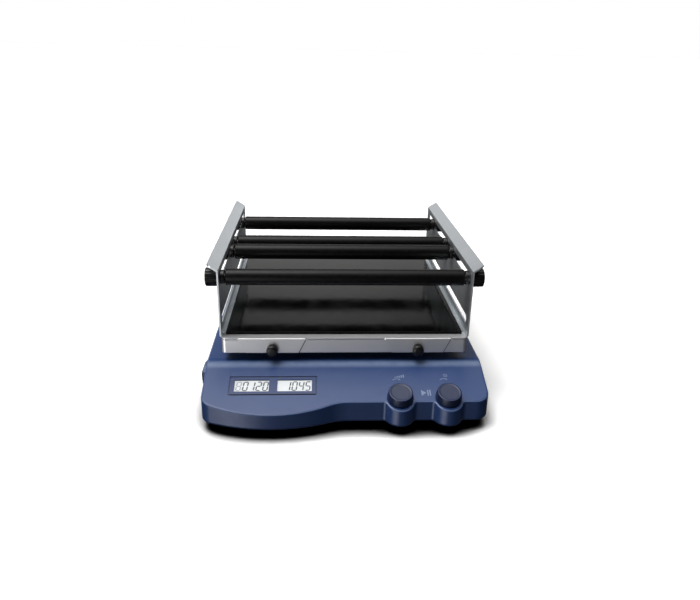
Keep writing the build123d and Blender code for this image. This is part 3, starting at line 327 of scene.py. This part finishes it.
blue = srgb(38, 65, 116)
blue_deep = srgb(35, 61, 111)
base_paint = moulded("base_paint_satin", blue, blue_deep, 0.33, grain_depth=0.00001)
# painted highlight in this pale blue along the ridge and the rounded rims
paint_rim_highlights(base_paint, blue, srgb(112, 130, 164), panel_normal)
knob_blue = moulded("knob_blue_satin", srgb(17, 35, 74), srgb(14, 31, 68), 0.38)
black_plastic = moulded("black_plastic_satin", srgb(9, 9, 10), srgb(6, 6, 7), 0.38)
switch_black = moulded("switch_black_satin", srgb(16, 16, 19), srgb(11, 11, 13), 0.35)


def bezel(name, colour, line_colour, middle, half_size, line_width, slope):
    """Satin plastic with a printed line along its border.

    Across the panel the place is x; up the panel it is y cos + z sin of the slope. The
    line is where either is nearer to the border than the line's width.
    """
    material = moulded(name, colour, colour, 0.32)
    tree = material.node_tree
    shader = tree.nodes["Principled BSDF"]
    place = tree.nodes.new("ShaderNodeTexCoord").outputs["Object"]
    directions = ((1.0, 0.0, 0.0), (0.0, math.cos(slope), math.sin(slope)))
    lines = []
    for direction, centre, half_side in zip(directions, middle, half_size):
        along = add_node(
            tree, "VectorMath", {"operation": "DOT_PRODUCT"}, i0=place, i1=direction
        ).outputs["Value"]
        off = add_node(tree, "Math", {"operation": "SUBTRACT"}, i0=along, i1=centre).outputs[0]
        far = add_node(tree, "Math", {"operation": "ABSOLUTE"}, i0=off).outputs[0]
        starts, full = half_side - line_width, half_side - 0.9 * line_width
        lines.append(spread(tree, far, 0.0, 1.0, starts, full))
    line = add_node(tree, "Math", {"operation": "MAXIMUM"}, i0=lines[0], i1=lines[1]).outputs[0]
    tone = blend_colours(tree, line, colour, line_colour)
    tree.links.new(tone, shader.inputs["Base Color"])
    return material


display_x = -92.4 * mm
display_up = 28.3 * mm
bezel_middle = (display_x, panel_foot @ panel_up + display_up)
bezel_half_size = (55.4 * mm, 15.7 * mm)
bezel_line = 2.3 * mm
bezel_blue = bezel(
    "bezel_blue_satin", srgb(29, 55, 104), srgb(14, 28, 66), bezel_middle, bezel_half_size,
    bezel_line, panel_slope,
)
print("moulded plastics made")

# %% [markdown]
# ### Rubbers
# The sleeves and feet are matt rubber with a mould texture and a little dust in it. The
# mat is polished rubber: it mirrors what stands behind it, slightly waved. Both could be
# plain black, but rubber is told from plastic by how its gloss breaks up, so each gets its
# own roughness pattern and specular level.

# %% Rubbers
def matt_rubber(name, colour, dusty, rough, gloss=0.5):
    """Matt rubber: dust lightens it in patches, and a fine mould texture breaks its gloss."""
    material, tree, shader, place = new_finish(name)
    dust = noise(tree, place, 0.004, 5.0)
    tone = blend_colours(tree, spread(tree, dust, 0.0, 1.0, 0.45, 0.75), colour, dusty)
    tree.links.new(tone, shader.inputs["Base Color"])
    tree.links.new(spread(tree, dust, rough - 0.05, rough + 0.06), shader.inputs["Roughness"])
    shader.inputs["Specular IOR Level"].default_value = gloss
    relief(tree, shader, noise(tree, place, 0.0006, 3.0), 0.00003, 0.4)
    return material


def polished_rubber(name):
    """Polished black rubber: clear gloss over black, waved by a few hundredths of a millimetre."""
    material, tree, shader, place = new_finish(name)
    specks = noise(tree, place, 0.0015, 4.0)
    tone = blend_colours(
        tree, spread(tree, specks, 0.0, 1.0, 0.5, 0.8), srgb(4, 4, 5), srgb(9, 9, 11)
    )
    tree.links.new(tone, shader.inputs["Base Color"])
    wiped = noise(tree, place, 0.02, 4.0, (1.0, 2.5, 1.0))
    tree.links.new(spread(tree, wiped, 0.07, 0.13), shader.inputs["Roughness"])
    shader.inputs["Specular IOR Level"].default_value = 0.18
    relief(tree, shader, noise(tree, place, 0.03, 1.0), 0.00035, 0.3)
    return material


rubber = matt_rubber("sleeve_rubber", srgb(6, 6, 7), srgb(15, 15, 16), 0.42, 0.22)
belt_rubber = matt_rubber("belt_rubber", srgb(24, 24, 25), srgb(40, 39, 38), 0.65)
mat_rubber = polished_rubber("mat_rubber_polished")
print("rubbers made")

# %% [markdown]
# ### Metals
# The platform, the tray and the side plates are brushed sheet with a clear satin finish.
# Anisotropic shading would draw out the highlights too, but it shows no hair lines close
# up, so brushing is a noise stretched a hundred times along the rolling direction, which
# varies both the roughness and the relief. A thin dark line runs beside the right-hand edge
# of each folded tab, where its step throws a shade. The soft light here is too even to draw
# it, so it is a line in the finish, placed by its distance from the edge.

# %% Metals
def brushed(name, light_tone, dark_tone, rough, along, hair=0.00025, depth=0.000006, metal=1.0):
    """Brushed metal: hair-fine noise drawn out along one direction."""
    material, tree, shader, place = new_finish(name)
    shader.inputs["Metallic"].default_value = metal
    hairs = noise(tree, place, hair, 2.0, tuple(120.0 if a else 1.0 for a in along))
    clouds = noise(tree, place, 0.05, 3.0)
    tone = blend_colours(tree, spread(tree, clouds, 0.0, 1.0), dark_tone, light_tone)
    tree.links.new(tone, shader.inputs["Base Color"])
    tree.links.new(spread(tree, hairs, rough - 0.06, rough + 0.06), shader.inputs["Roughness"])
    relief(tree, shader, hairs, depth, 0.6)
    return material


platform_silver = brushed(
    "platform_silver_satin", srgb(242, 242, 243), srgb(235, 235, 237), 0.42, (1, 0, 0), metal=0.7
)


def shade_seams(material, middle_x, half_width, top_z, slant, shade, width):
    """Paints shade into the sheet's colour beside the right-hand, slanted edge of each tab folded over it.

    With s = x - sign(x) middle_x, the place to the right of a tab's middle, the distance
    from that edge is s cos(a) - z sin(a) less its value at the tab's top, a being the
    edge's lean.
    """
    tree = material.node_tree
    shader = tree.nodes["Principled BSDF"]
    tone = shader.inputs["Base Color"].links[0].from_socket
    place = tree.nodes.new("ShaderNodeTexCoord").outputs["Object"]
    parts = add_node(tree, "SeparateXYZ", Vector=place).outputs
    hand = add_node(tree, "Math", {"operation": "SIGN"}, i0=parts["X"]).outputs[0]
    middle = add_node(tree, "Math", {"operation": "MULTIPLY"}, i0=hand, i1=middle_x).outputs[0]
    off = add_node(tree, "Math", {"operation": "SUBTRACT"}, i0=parts["X"], i1=middle).outputs[0]
    flat = add_node(tree, "CombineXYZ", X=off, Z=parts["Z"]).outputs[0]
    across = (math.cos(slant), 0.0, -math.sin(slant))
    reach = add_node(
        tree, "VectorMath", {"operation": "DOT_PRODUCT"}, i0=flat, i1=across
    ).outputs["Value"]
    edge = half_width * across[0] + top_z * across[2]
    away = add_node(tree, "Math", {"operation": "SUBTRACT"}, i0=reach, i1=edge).outputs[0]
    away = add_node(tree, "Math", {"operation": "ABSOLUTE"}, i0=away).outputs[0]
    # painted shade: a dark band along the edge, where the tab's step would shade the sheet
    seam_shade = spread(tree, away, 1.0, 0.0, 0.5 * width, 1.5 * width)
    mixed = blend_colours(tree, seam_shade, tone, shade)
    tree.links.new(mixed, shader.inputs["Base Color"])


tab_middle_x = 95.0 * mm
tab_half_width = 43.5 * mm
tab_top_z = 96.6 * mm
tab_lean = math.atan(9.5 / 20.0)
shade_line_width = 1.3 * mm
# painted shade beside each tab's right-hand edge, in this dark grey
shade_seams(
    platform_silver, tab_middle_x, tab_half_width, tab_top_z, tab_lean, srgb(40, 40, 44), shade_line_width
)
tray_silver = brushed(
    "tray_silver_satin", srgb(240, 240, 242), srgb(233, 234, 236), 0.40, (1, 0, 0), metal=0.7
)
plate_silver = brushed(
    "plate_silver_satin", srgb(232, 238, 242), srgb(224, 231, 236), 0.38, (0, 1, 0), metal=0.92
)
steel = brushed("turned_steel", srgb(190, 190, 192), srgb(176, 176, 178), 0.28, (1, 0, 0))
aluminium = brushed(
    "machined_aluminium", srgb(205, 206, 208), srgb(192, 193, 196), 0.34, (0, 1, 0)
)
sheet_black = matt_rubber("black_powder_coat", srgb(22, 22, 23), srgb(34, 34, 34), 0.48)
print("metals made")

# %% [markdown]
# ### Display and electronics
# The display panels are lit from behind: a white face with a faint glow. A lamp in the
# housing could do that, but a weak emission of the face's own tone is simpler. The circuit
# boards are green lacquer over a pattern of tracks. They stay hidden in the housing, so a
# brick texture suggests the tracks.

# %% Display and electronics
def lit_panel(name):
    """White display face with a faint glow, a little uneven as a backlight is."""
    material, tree, shader, place = new_finish(name)
    glow = noise(tree, place, 0.012, 1.0)
    dim, bright = srgb(206, 211, 214), srgb(216, 221, 223)
    tone = blend_colours(tree, spread(tree, glow, 0.0, 1.0), dim, bright)
    tree.links.new(tone, shader.inputs["Base Color"])
    tree.links.new(tone, shader.inputs["Emission Color"])
    shader.inputs["Emission Strength"].default_value = 0.18
    shader.inputs["Roughness"].default_value = 0.22
    return material


def circuit_board(name):
    """Green lacquer with lighter tracks in a grid."""
    material, tree, shader, place = new_finish(name)
    tracks = add_node(
        tree, "TexBrick", Vector=place, Color1=srgb(14, 70, 38), Color2=srgb(12, 60, 33),
        Mortar=srgb(44, 110, 66), Scale=220.0, Mortar_Size=0.08,
    )
    tree.links.new(tracks.outputs["Color"], shader.inputs["Base Color"])
    shader.inputs["Roughness"].default_value = 0.35
    relief(tree, shader, tracks.outputs["Fac"], 0.00003, 0.5)
    return material


lcd = lit_panel("lcd_white")
board = circuit_board("circuit_board_green")
print("display and electronics finishes made")

# %% [markdown]
# ### Print and liquid crystal
# The display's figures are dark liquid crystal with a soft gloss, and the panel's marks are
# pale screen print. Ink could be one flat tone, but it is a little uneven at the scale of
# the mesh it comes through, so a fine noise mixes its full colour with a thinner one.

# %% Print and liquid crystal
def printed(name, colour, thin, rough):
    """Thin ink: fine unevenness between the full colour and where the ink is thin."""
    material, tree, shader, place = new_finish(name)
    mesh_marks = noise(tree, place, 0.0004, 3.0)
    tone = blend_colours(tree, spread(tree, mesh_marks, 0.0, 1.0), thin, colour)
    tree.links.new(tone, shader.inputs["Base Color"])
    tree.links.new(spread(tree, mesh_marks, rough - 0.05, rough + 0.05), shader.inputs["Roughness"])
    return material


lcd_ink = printed("lcd_ink_dark", srgb(44, 46, 56), srgb(54, 56, 66), 0.35)
lcd_faint = printed("lcd_ink_unlit", srgb(160, 164, 172), srgb(170, 174, 180), 0.35)
pale_print = printed("screen_print_pale", srgb(128, 142, 172), srgb(112, 127, 160), 0.5)
print("inks made")

# %% [markdown]
# ## Dressing the frame's pieces
# The record names a material slot for every node, from the housing to the last screw. Each
# node could be dressed by name, but one table from slot to finish covers them all and keeps
# pieces of one material alike. A node keeps its shape: only what fills its slot changes.

# %% Dress the nodes
finishes = {
    "base_paint": base_paint,
    "bezel_blue": bezel_blue,
    "lcd": lcd,
    "knob_blue": knob_blue,
    "switch_black": switch_black,
    "rubber": rubber,
    "mat_rubber": mat_rubber,
    "sheet_black": sheet_black,
    "platform_silver": platform_silver,
    "tray_silver": tray_silver,
    "plate_silver": plate_silver,
    "steel": steel,
    "aluminium": aluminium,
    "board": board,
    "black_plastic": black_plastic,
    "belt": belt_rubber,
}
for row in frame["record"]["subparts"]:
    for material_slot in frame["nodes"][row["node"]].material_slots:
        material_slot.material = finishes[row["material_slot"]]

# %% [markdown]
# ## Shapes from profiles
# Sleeves, rods, collars, knobs and screws are turned or moulded round an axis. Each is a
# profile, radius against height along the axis, carried round in even steps, which is how
# a lathe makes them. Rounding the profile's corners first gives every edge its real radius,
# and one formula covers all the pieces, so they keep true to the frame's own numbers.

# %% Helpers for shapes
def unit(vector):
    """The vector scaled to length one."""
    return np.asarray(vector, float) / np.linalg.norm(vector)


def rounded(corners, radii, steps=5):
    """Profile with arcs in place of its inner corners.

    With h half the angle of a corner, the arc of radius r starts and ends r / tan(h) along
    the two sides, and its centre lies r / sin(h) along the bisector. The spokes between
    are mixed from the first and the last by sines of the swing, so they keep their length.
    """
    corners = np.asarray(corners, float)
    runs = [corners[:1]]
    for before, here, after, radius in zip(corners, corners[1:], corners[2:], radii):
        back, ahead = unit(before - here), unit(after - here)
        half_angle = math.acos(back @ ahead) / 2
        centre = here + unit(back + ahead) * radius / math.sin(half_angle)
        first = here + back * radius / math.tan(half_angle) - centre
        last = here + ahead * radius / math.tan(half_angle) - centre
        swing = math.pi - 2 * half_angle
        share = np.linspace(0.0, 1.0, steps)[:, None]
        spokes = np.sin((1 - share) * swing) * first + np.sin(share * swing) * last
        runs.append(centre + spokes / math.sin(swing))
    runs.append(corners[-1:])
    return np.concatenate(runs)


def turned(profile, centre, axis, sides=72, flutes=0, cutter=1.0, depth=0.0):
    """Points and faces of a profile carried round an axis.

    A point stands height(s) along the axis and radius(s, t) away from it at the angle t.
    Flutes are cuts of a round cutter whose middle stands R + cutter - depth from the axis,
    R being the profile's largest radius, so the radius there is the distance to the
    cutter's near side where that is less than the profile's own.
    """
    profile = np.asarray(profile, float)
    axis = unit(axis)
    helper = (0.0, 0.0, 1.0) if abs(axis[2]) < 0.7 else (1.0, 0.0, 0.0)
    across = unit(np.cross(helper, axis))
    beyond = np.cross(axis, across)
    angle = np.arange(sides) * 2 * math.pi / sides
    radius = np.repeat(profile[:, :1], sides, axis=1)
    if flutes:
        stand = profile[:, 0].max() + cutter - depth
        off = (angle + math.pi / flutes) % (2 * math.pi / flutes) - math.pi / flutes
        under = cutter**2 - (stand * np.sin(off)) ** 2
        near = np.where(under > 0, stand * np.cos(off) - np.sqrt(np.maximum(under, 0)), stand)
        radius = np.minimum(radius, near)
    round_the_axis = np.cos(angle)[:, None] * across + np.sin(angle)[:, None] * beyond
    points = np.asarray(centre) + profile[:, 1, None, None] * axis
    points = points + radius[:, :, None] * round_the_axis
    index = np.arange(points.shape[0] * sides).reshape(-1, sides)
    beside = np.roll(index, -1, axis=1)
    faces = np.stack([index[:-1], beside[:-1], beside[1:], index[1:]], axis=-1)
    return points.reshape(-1, 3), faces.reshape(-1, 4).tolist()


def prism(outline, place, across, upward, low, high):
    """Points and faces of a flat outline on the plane through place, from height low to high."""
    outline = np.asarray(outline, float)
    count = len(outline)
    flat = np.asarray(place) + outline[:, :1] * unit(across) + outline[:, 1:] * unit(upward)
    normal = np.cross(unit(across), unit(upward))
    points = np.concatenate([flat + low * normal, flat + high * normal])
    index = np.arange(count)
    beside = np.roll(index, -1)
    sides = np.stack([index, beside, beside + count, index + count], axis=-1).tolist()
    return points, [index[::-1].tolist(), (index + count).tolist(), *sides]


def new_piece(name, forms, finish, body, hides=(), sharp=35.0):
    """Makes one piece of several forms, dresses it and lets it ride on its body.

    Points that coincide, as at a pole or a seam, are joined; an edge sharper than the
    angle stays crisp, and the rest is shaded smoothly.
    """
    points, faces = [], []
    start = 0
    for form_points, form_faces in forms:
        points.append(form_points)
        faces.extend([[start + corner for corner in face] for face in form_faces])
        start += len(form_points)
    mesh = bpy.data.meshes.new(name)
    mesh.from_pydata(np.concatenate(points).tolist(), [], faces)
    shell = bmesh.new()
    shell.from_mesh(mesh)
    bmesh.ops.remove_doubles(shell, verts=shell.verts, dist=1e-6)
    bmesh.ops.recalc_face_normals(shell, faces=shell.faces)
    shell.to_mesh(mesh)
    shell.free()
    mesh.shade_smooth()
    mesh.set_sharp_from_angle(angle=math.radians(sharp))
    mesh.materials.append(finish)
    piece = bpy.data.objects.new(name, mesh)
    scene.collection.objects.link(piece)
    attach(piece, body)
    if hides:
        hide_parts(*hides)
    return piece


def span(node, axis):
    """Lowest and highest place of a node along a world axis, and its middle point."""
    low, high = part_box(node)
    return low[axis], high[axis], [(a + b) / 2 for a, b in zip(low, high)]


# %% [markdown]
# ### Bars
# Each bar is a steel rod in a thick rubber sleeve that turns freely, so that it grips and
# doesn't scratch. A black collar next to each plate keeps the sleeve in place, and a fluted
# knob outside each plate clamps the bar where it has been slid to. Cylinders with bevels
# would come close, but the knob's flutes and its sunken end need a profile. The frame has
# rod and collars as one solid, so both pieces stand for it.

# %% Sleeves, rods, collars and clamp knobs
sleeve_bore = 4.05 * mm
rod_radius = 4.0 * mm
collar_radius = 9.0 * mm
collar_from = 154.7 * mm
collar_to = 160.2 * mm
clamp_wall = 3.0 * mm
clamp_flutes = 8
clamp_flute_radius = 2.2 * mm
clamp_flute_depth = 1.2 * mm

for number in (1, 2, 3, 4):
    left, right, middle = span(f"bar_sleeve_{number}", 0)
    half_length = (right - left) / 2
    low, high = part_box(f"bar_sleeve_{number}")
    radius = (high[2] - low[2]) / 2
    sleeve_corners = [
        (sleeve_bore, 0), (sleeve_bore, -half_length), (radius, -half_length),
        (radius, half_length), (sleeve_bore, half_length), (sleeve_bore, 0),
    ]
    sleeve_radii = (0.5 * mm, 1.9 * mm, 1.9 * mm, 0.5 * mm)
    new_piece(
        f"sleeve_{number}_rubber",
        [turned(rounded(sleeve_corners, sleeve_radii, 7), middle, (1, 0, 0), 80)],
        rubber, f"sleeve_{number}", (f"bar_sleeve_{number}",),
    )
    left, right, middle = span(f"bar_rod_{number}", 0)
    half_length = (right - left) / 2
    rod_corners = [
        (0, -half_length), (rod_radius, -half_length), (rod_radius, half_length), (0, half_length),
    ]
    new_piece(
        f"rod_{number}_steel",
        [turned(rounded(rod_corners, (0.6 * mm, 0.6 * mm)), middle, (1, 0, 0), 48)],
        steel, f"bar_{number}", (f"bar_rod_{number}",),
    )
    collar_corners = [
        (rod_radius, (collar_from + collar_to) / 2), (rod_radius, collar_from),
        (collar_radius, collar_from), (collar_radius, collar_to), (rod_radius, collar_to),
        (rod_radius, (collar_from + collar_to) / 2),
    ]
    collar = rounded(collar_corners, (0.2 * mm, 0.8 * mm, 0.8 * mm, 0.2 * mm))
    new_piece(
        f"collars_{number}_black",
        [turned(collar, middle, (side, 0, 0), 64) for side in (-1, 1)],
        black_plastic, f"bar_{number}", (f"bar_rod_{number}",),
    )
    for side, label in ((-1, "left"), (1, "right")):
        left, right, middle = span(f"clamp_knob_{number}_{label}", 0)
        low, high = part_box(f"clamp_knob_{number}_{label}")
        radius = (high[2] - low[2]) / 2
        length = right - left
        inner_end = [middle[0] - side * length / 2, middle[1], middle[2]]
        bore_end = length - clamp_wall
        knob_corners = [
            (0, bore_end), (sleeve_bore, bore_end), (sleeve_bore, 0), (radius, 0),
            (radius, length), (0.72 * radius, length), (0.64 * radius, length - 0.5 * mm),
            (0, length - 0.5 * mm),
        ]
        knob_radii = (0.2 * mm, 0.4 * mm, 0.7 * mm, 1.6 * mm, 0.6 * mm, 0.6 * mm)
        new_piece(
            f"clamp_knob_{number}_{label}_fluted",
            [turned(rounded(knob_corners, knob_radii), inner_end, (side, 0, 0), 144,
                    clamp_flutes, clamp_flute_radius, clamp_flute_depth)],
            black_plastic, f"clamp_{number}_{label}",
            (f"clamp_knob_{number}_{label}",),
        )
print("four bars with sleeves, rods, collars and eight clamp knobs")

# %% [markdown]
# ### Thumb screws
# Two black thumb screws hold the tray's folded tabs to the platform's skirt. Their heads
# are domed for the thumb, with a fine grip round the rim; the shank goes through the tab.
# A squashed sphere would make the dome, but the same profile helper gives dome, rim and
# shank in one closed piece.

# %% Thumb screws
thumb_shank = 12.0 * mm
thumb_shank_radius = 3.0 * mm
thumb_flutes = 20
thumb_flute_radius = 0.7 * mm
thumb_flute_depth = 0.35 * mm
for side, label in ((-1, "left"), (1, "right")):
    front, back, middle = span(f"thumb_screw_{label}", 1)
    low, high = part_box(f"thumb_screw_{label}")
    radius = (high[0] - low[0]) / 2
    length = back - front
    screw_corners = [
        (0, 0), (thumb_shank_radius, 0), (thumb_shank_radius, thumb_shank), (radius, thumb_shank),
        (radius, length), (0, length),
    ]
    screw_radii = (0.5 * mm, 0.3 * mm, 0.5 * mm, 3.8 * mm)
    new_piece(
        f"thumb_screw_{label}_domed",
        [turned(rounded(screw_corners, screw_radii, 9), (middle[0], back, middle[2]), (0, -1, 0),
                120, thumb_flutes, thumb_flute_radius, thumb_flute_depth)],
        black_plastic, f"thumb_screw_{label}", (f"thumb_screw_{label}",),
    )
print("two thumb screws")

# %% [markdown]
# ### Control knobs
# Both encoders carry the same moulded knob: a cap that narrows a little towards a gently
# dished face, hollow below, with a hub that slides on the shaft when the knob is pressed.
# A cylinder would hide the hollow, so the profile runs from the hub's bore out to the
# skirt and back over the face. Heights are measured from the panel along the shaft, so the
# hollow and the hub stay as deep as in the frame and nothing meets when the knob goes down.

# %% Control knobs
# Radius and height of each corner, in millimetres
knob_corners = np.array([
    (0, 10.2), (3.05, 10.2), (3.05, 4.3), (5.5, 4.3), (5.5, 9.4), (12.7, 9.4), (12.7, 1.6),
    (16.8, 1.6), (14.9, 11.6), (13.2, 11.6), (11.8, 11.25), (0, 11.25),
])
knob_radii = (0.1, 0.2, 0.2, 0.2, 0.5, 0.3, 0.5, 1.25, 0.4, 2.0)
knob_profile = rounded(knob_corners, knob_radii, 7) * mm
for label in ("speed", "time"):
    new_piece(
        f"{label}_knob_cap",
        [turned(knob_profile, joints[f"{label}_turn"]["pos_m"], panel_normal, 128)],
        knob_blue, f"{label}_knob", (f"{label}_knob",), 28.0,
    )
print("two control knobs")

# %% [markdown]
# ### Display figures
# Both panels show plain numbers in slanted seven-segment figures, as such displays do. A
# text object would need a font of that kind, and a segment is only a six-sided bar between
# two corners of the figure, so the figures are built from those. They lie on the panel's
# face, a few hundredths of a millimetre thick; the left one has an unlit 8, which a liquid
# crystal shows faintly.

# %% Display figures
lit_segments = {
    "0": "abcdef", "1": "bc", "2": "abdeg", "3": "abcdg", "4": "bcfg",
    "5": "acdfg", "6": "acdefg", "7": "abc", "8": "abcdefg", "9": "abcdfg",
}
segment_ends = {
    "a": ((0, 2), (1, 2)), "b": ((1, 2), (1, 1)), "c": ((1, 1), (1, 0)), "d": ((0, 0), (1, 0)),
    "e": ((0, 1), (0, 0)), "f": ((0, 2), (0, 1)), "g": ((0, 1), (1, 1)),
}
figure_size = np.array((5.3, 7.0)) * mm
figure_pitch = 8.4 * mm
figure_slant = 0.12
segment_width = 1.55 * mm
segment_gap = 0.25 * mm
lcd_depth = -1.3 * mm


def on_panel(x, up):
    """Point of the panel's surface: x to the right, up along the slope."""
    return panel_foot + np.array(panel_across) * x + np.array(panel_up) * up


def segment(start, end):
    """Six-sided bar from start to end: pointed at both ends, a little short of each corner."""
    start, end = np.array(start) * figure_size, np.array(end) * figure_size
    along = unit(end - start)
    side = np.array((-along[1], along[0]))
    half_width = segment_width / 2
    first, last = start + along * segment_gap, end - along * segment_gap
    return np.array([
        first, first + (along - side) * half_width, last - (along + side) * half_width,
        last, last + (side - along) * half_width, first + (along + side) * half_width,
    ])


def figures(text, x, up):
    """Forms of a row of seven-segment figures; x, up is the first one's lower left corner."""
    forms = []
    for place, figure in enumerate(text):
        for name in lit_segments[figure]:
            outline = segment(*segment_ends[name])
            outline[:, 0] += figure_slant * outline[:, 1] + place * figure_pitch
            forms.append(
                prism(outline, on_panel(x, up), panel_across, panel_up,
                      lcd_depth - 0.03 * mm, lcd_depth + 0.05 * mm)
            )
    return forms


window_offset = 26.9 * mm
window_half_width = 21.7 * mm
window_left = display_x - window_offset - window_half_width
window_right = display_x + window_offset - window_half_width
figure_foot = display_up - figure_size[1]
new_piece(
    "display_figures",
    figures("0120", window_left + 10.4 * mm, figure_foot)
    + figures("1045", window_right + 10.0 * mm, figure_foot),
    lcd_ink, "base",
)
new_piece(
    "display_unlit_figure", figures("8", window_left + 2.0 * mm, figure_foot),
    lcd_faint, "base",
)
print("display figures printed")

# %% [markdown]
# ### Marks on the panel
# Each knob has a small pale mark of what it sets and an arrow for its turning, and between
# them stands a mark for start and stop. The marks are generic: rising bars for speed, a
# dial with hands for time, a triangle with two bars. A picture on the panel would blur
# from nearby, so each mark is an outline raised by a few hundredths of a millimetre, as a
# thick print is. Outlines are in millimetres: x to the right, then up the panel.

# %% Marks on the panel
print_low = -0.04 * mm
print_high = 0.04 * mm


def stroke(path, width):
    """Outline of a pen stroke: the path shifted to one side, then back along the other."""
    path = np.asarray(path, float)
    along = np.gradient(path, axis=0)
    along /= np.linalg.norm(along, axis=1)[:, None]
    side = np.stack([-along[:, 1], along[:, 0]], axis=1) * width / 2
    return np.concatenate([path - side, (path + side)[::-1]])


def arc(centre, radius, start, end, steps=24):
    """Points on a circle from the angle start to the angle end, in degrees."""
    angle = np.radians(np.linspace(start, end, steps))
    return np.array(centre) + radius * np.stack([np.cos(angle), np.sin(angle)], axis=1)


def turning_arrow(x, up):
    """Arc that rises from the left, with a three-sided head at its right end."""
    curve = arc((x, up - 5.0), 6.6, 140.0, 62.0)
    tip = curve[-1]
    ahead = unit(curve[-1] - curve[-2])
    side = np.array((-ahead[1], ahead[0]))
    head = np.array([tip - side * 1.2, tip + ahead * 2.2, tip + side * 1.2])
    return [stroke(curve, 0.8), head]


def upright_bar(left, foot, width, top):
    """Outline of an upright bar from its foot to its top."""
    return [(left, foot), (left + width, foot), (left + width, top), (left, top)]


dial_x = 128.7
dial_up = 43.8
hand_width = 0.6
marks = [upright_bar(62.6 + 2.7 * step, 40.4, 1.5, 41.8 + 0.9 * step) for step in range(5)]
marks += [stroke([(dial_x, dial_up), (dial_x, dial_up + 1.3)], hand_width)]
marks += [stroke([(dial_x - 0.3, dial_up), (dial_x + 1.2, dial_up)], hand_width)]
marks += turning_arrow(64.8, 36.8)
marks += turning_arrow(125.6, 36.8)
marks += [[(94.0, 9.8), (100.4, 14.6), (94.0, 19.4)]]
marks += [upright_bar(left, 9.8, 1.6, 19.4) for left in (101.6, 104.4)]
mark_forms = [
    prism(np.array(outline) * mm, on_panel(0, 0), panel_across, panel_up, print_low, print_high)
    for outline in marks
]


def flat_ring(inner, outer):
    """Profile of a printed ring between two radii."""
    return [
        (inner, print_low), (outer, print_low), (outer, print_high), (inner, print_high),
        (inner, print_low),
    ]


dial = flat_ring(2.0 * mm, 2.6 * mm)
mark_forms.append(turned(dial, on_panel(dial_x * mm, dial_up * mm), panel_normal, 48))
new_piece("panel_marks", mark_forms, pale_print, "base")
print(len(mark_forms), "marks on the panel")

# %% [markdown]
# ### Marks on the power switch
# The rocker's two halves carry the usual line and ring, which tell on from off. They could
# be cut into the cap, but such marks are printed, so they are thin forms on its face. Each
# half slopes to the middle, so a mark's plane leans with it. The face rises by one part in
# 11.5 towards its end.

# %% Marks on the power switch
rocker_turn = math.radians(7.5)
rocker_run = 11.5
mark_along = 6.0
face_height = 3.4
rocker_along = np.array((math.sin(rocker_turn), math.cos(rocker_turn), 0.0))
rocker_out = np.array((-math.cos(rocker_turn), math.sin(rocker_turn), 0.0))
rocker_pivot = np.array(joints["power_switch"]["pos_m"])
rocker_forms = []
for end in (-1, 1):
    lean = unit(end * rocker_along * rocker_run + rocker_out)
    face_out = unit(rocker_out * rocker_run - end * rocker_along)
    rise = face_height + mark_along / rocker_run
    place = rocker_pivot + (end * rocker_along * mark_along + rocker_out * rise) * mm
    if end < 0:
        upward = np.cross(face_out, lean)
        line = np.array([(-2.2, -0.4), (2.2, -0.4), (2.2, 0.4), (-2.2, 0.4)]) * mm
        rocker_forms.append(prism(line, place, lean, upward, print_low, print_high))
    else:
        rocker_forms.append(turned(flat_ring(1.5 * mm, 2.1 * mm), place, face_out, 48))
new_piece("rocker_marks", rocker_forms, pale_print, "power_rocker")
print("line and ring on the rocker")

# %% [markdown]
# ### The floor's finish
# The paper below is overexposed to pure white, as in a cut-out product picture, so that
# only the dark contact shadow shows. Its reflectance is therefore set above one; it does
# no harm, since the floor lights nothing else. Soft light alone leaves that shadow grey, so
# an Ambient Occlusion node finds where the housing, within six centimetres, covers much of
# the sky, and the paper turns black there.

# %% The floor's finish
contact_reach = 60.0 * mm
sky_where_black = 0.47
sky_where_white = 0.74
floor_finish, tree, shader, place = new_finish("studio_paper")
tree.nodes.remove(shader)
white = (overexposed, overexposed, overexposed, 1.0)
cool_white = (overexposed, overexposed, overexposed * 1.01, 1.0)
black = (0.0, 0.0, 0.0, 1.0)
drift = spread(tree, noise(tree, place, 0.8, 1.0), 0.0, 1.0)
tone = blend_colours(tree, drift, white, cool_white)
open_sky = add_node(tree, "AmbientOcclusion", {"samples": 20}, Distance=contact_reach)
lit = spread(tree, open_sky.outputs["AO"], 0.0, 1.0, sky_where_black, sky_where_white)
tone = blend_colours(tree, lit, black, tone)
paper = add_node(tree, "BsdfDiffuse", Color=tone)
tree.links.new(paper.outputs["BSDF"], tree.nodes["Material Output"].inputs["Surface"])
floor_mesh.materials.append(floor_finish)
print("floor turns black where under", sky_where_black, "of the sky is open")

# %% [markdown]
# ## Sizes
# The box of the dressed object is measured over every shown piece, the floor left out.

# %% Measure the sizes
low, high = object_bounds()
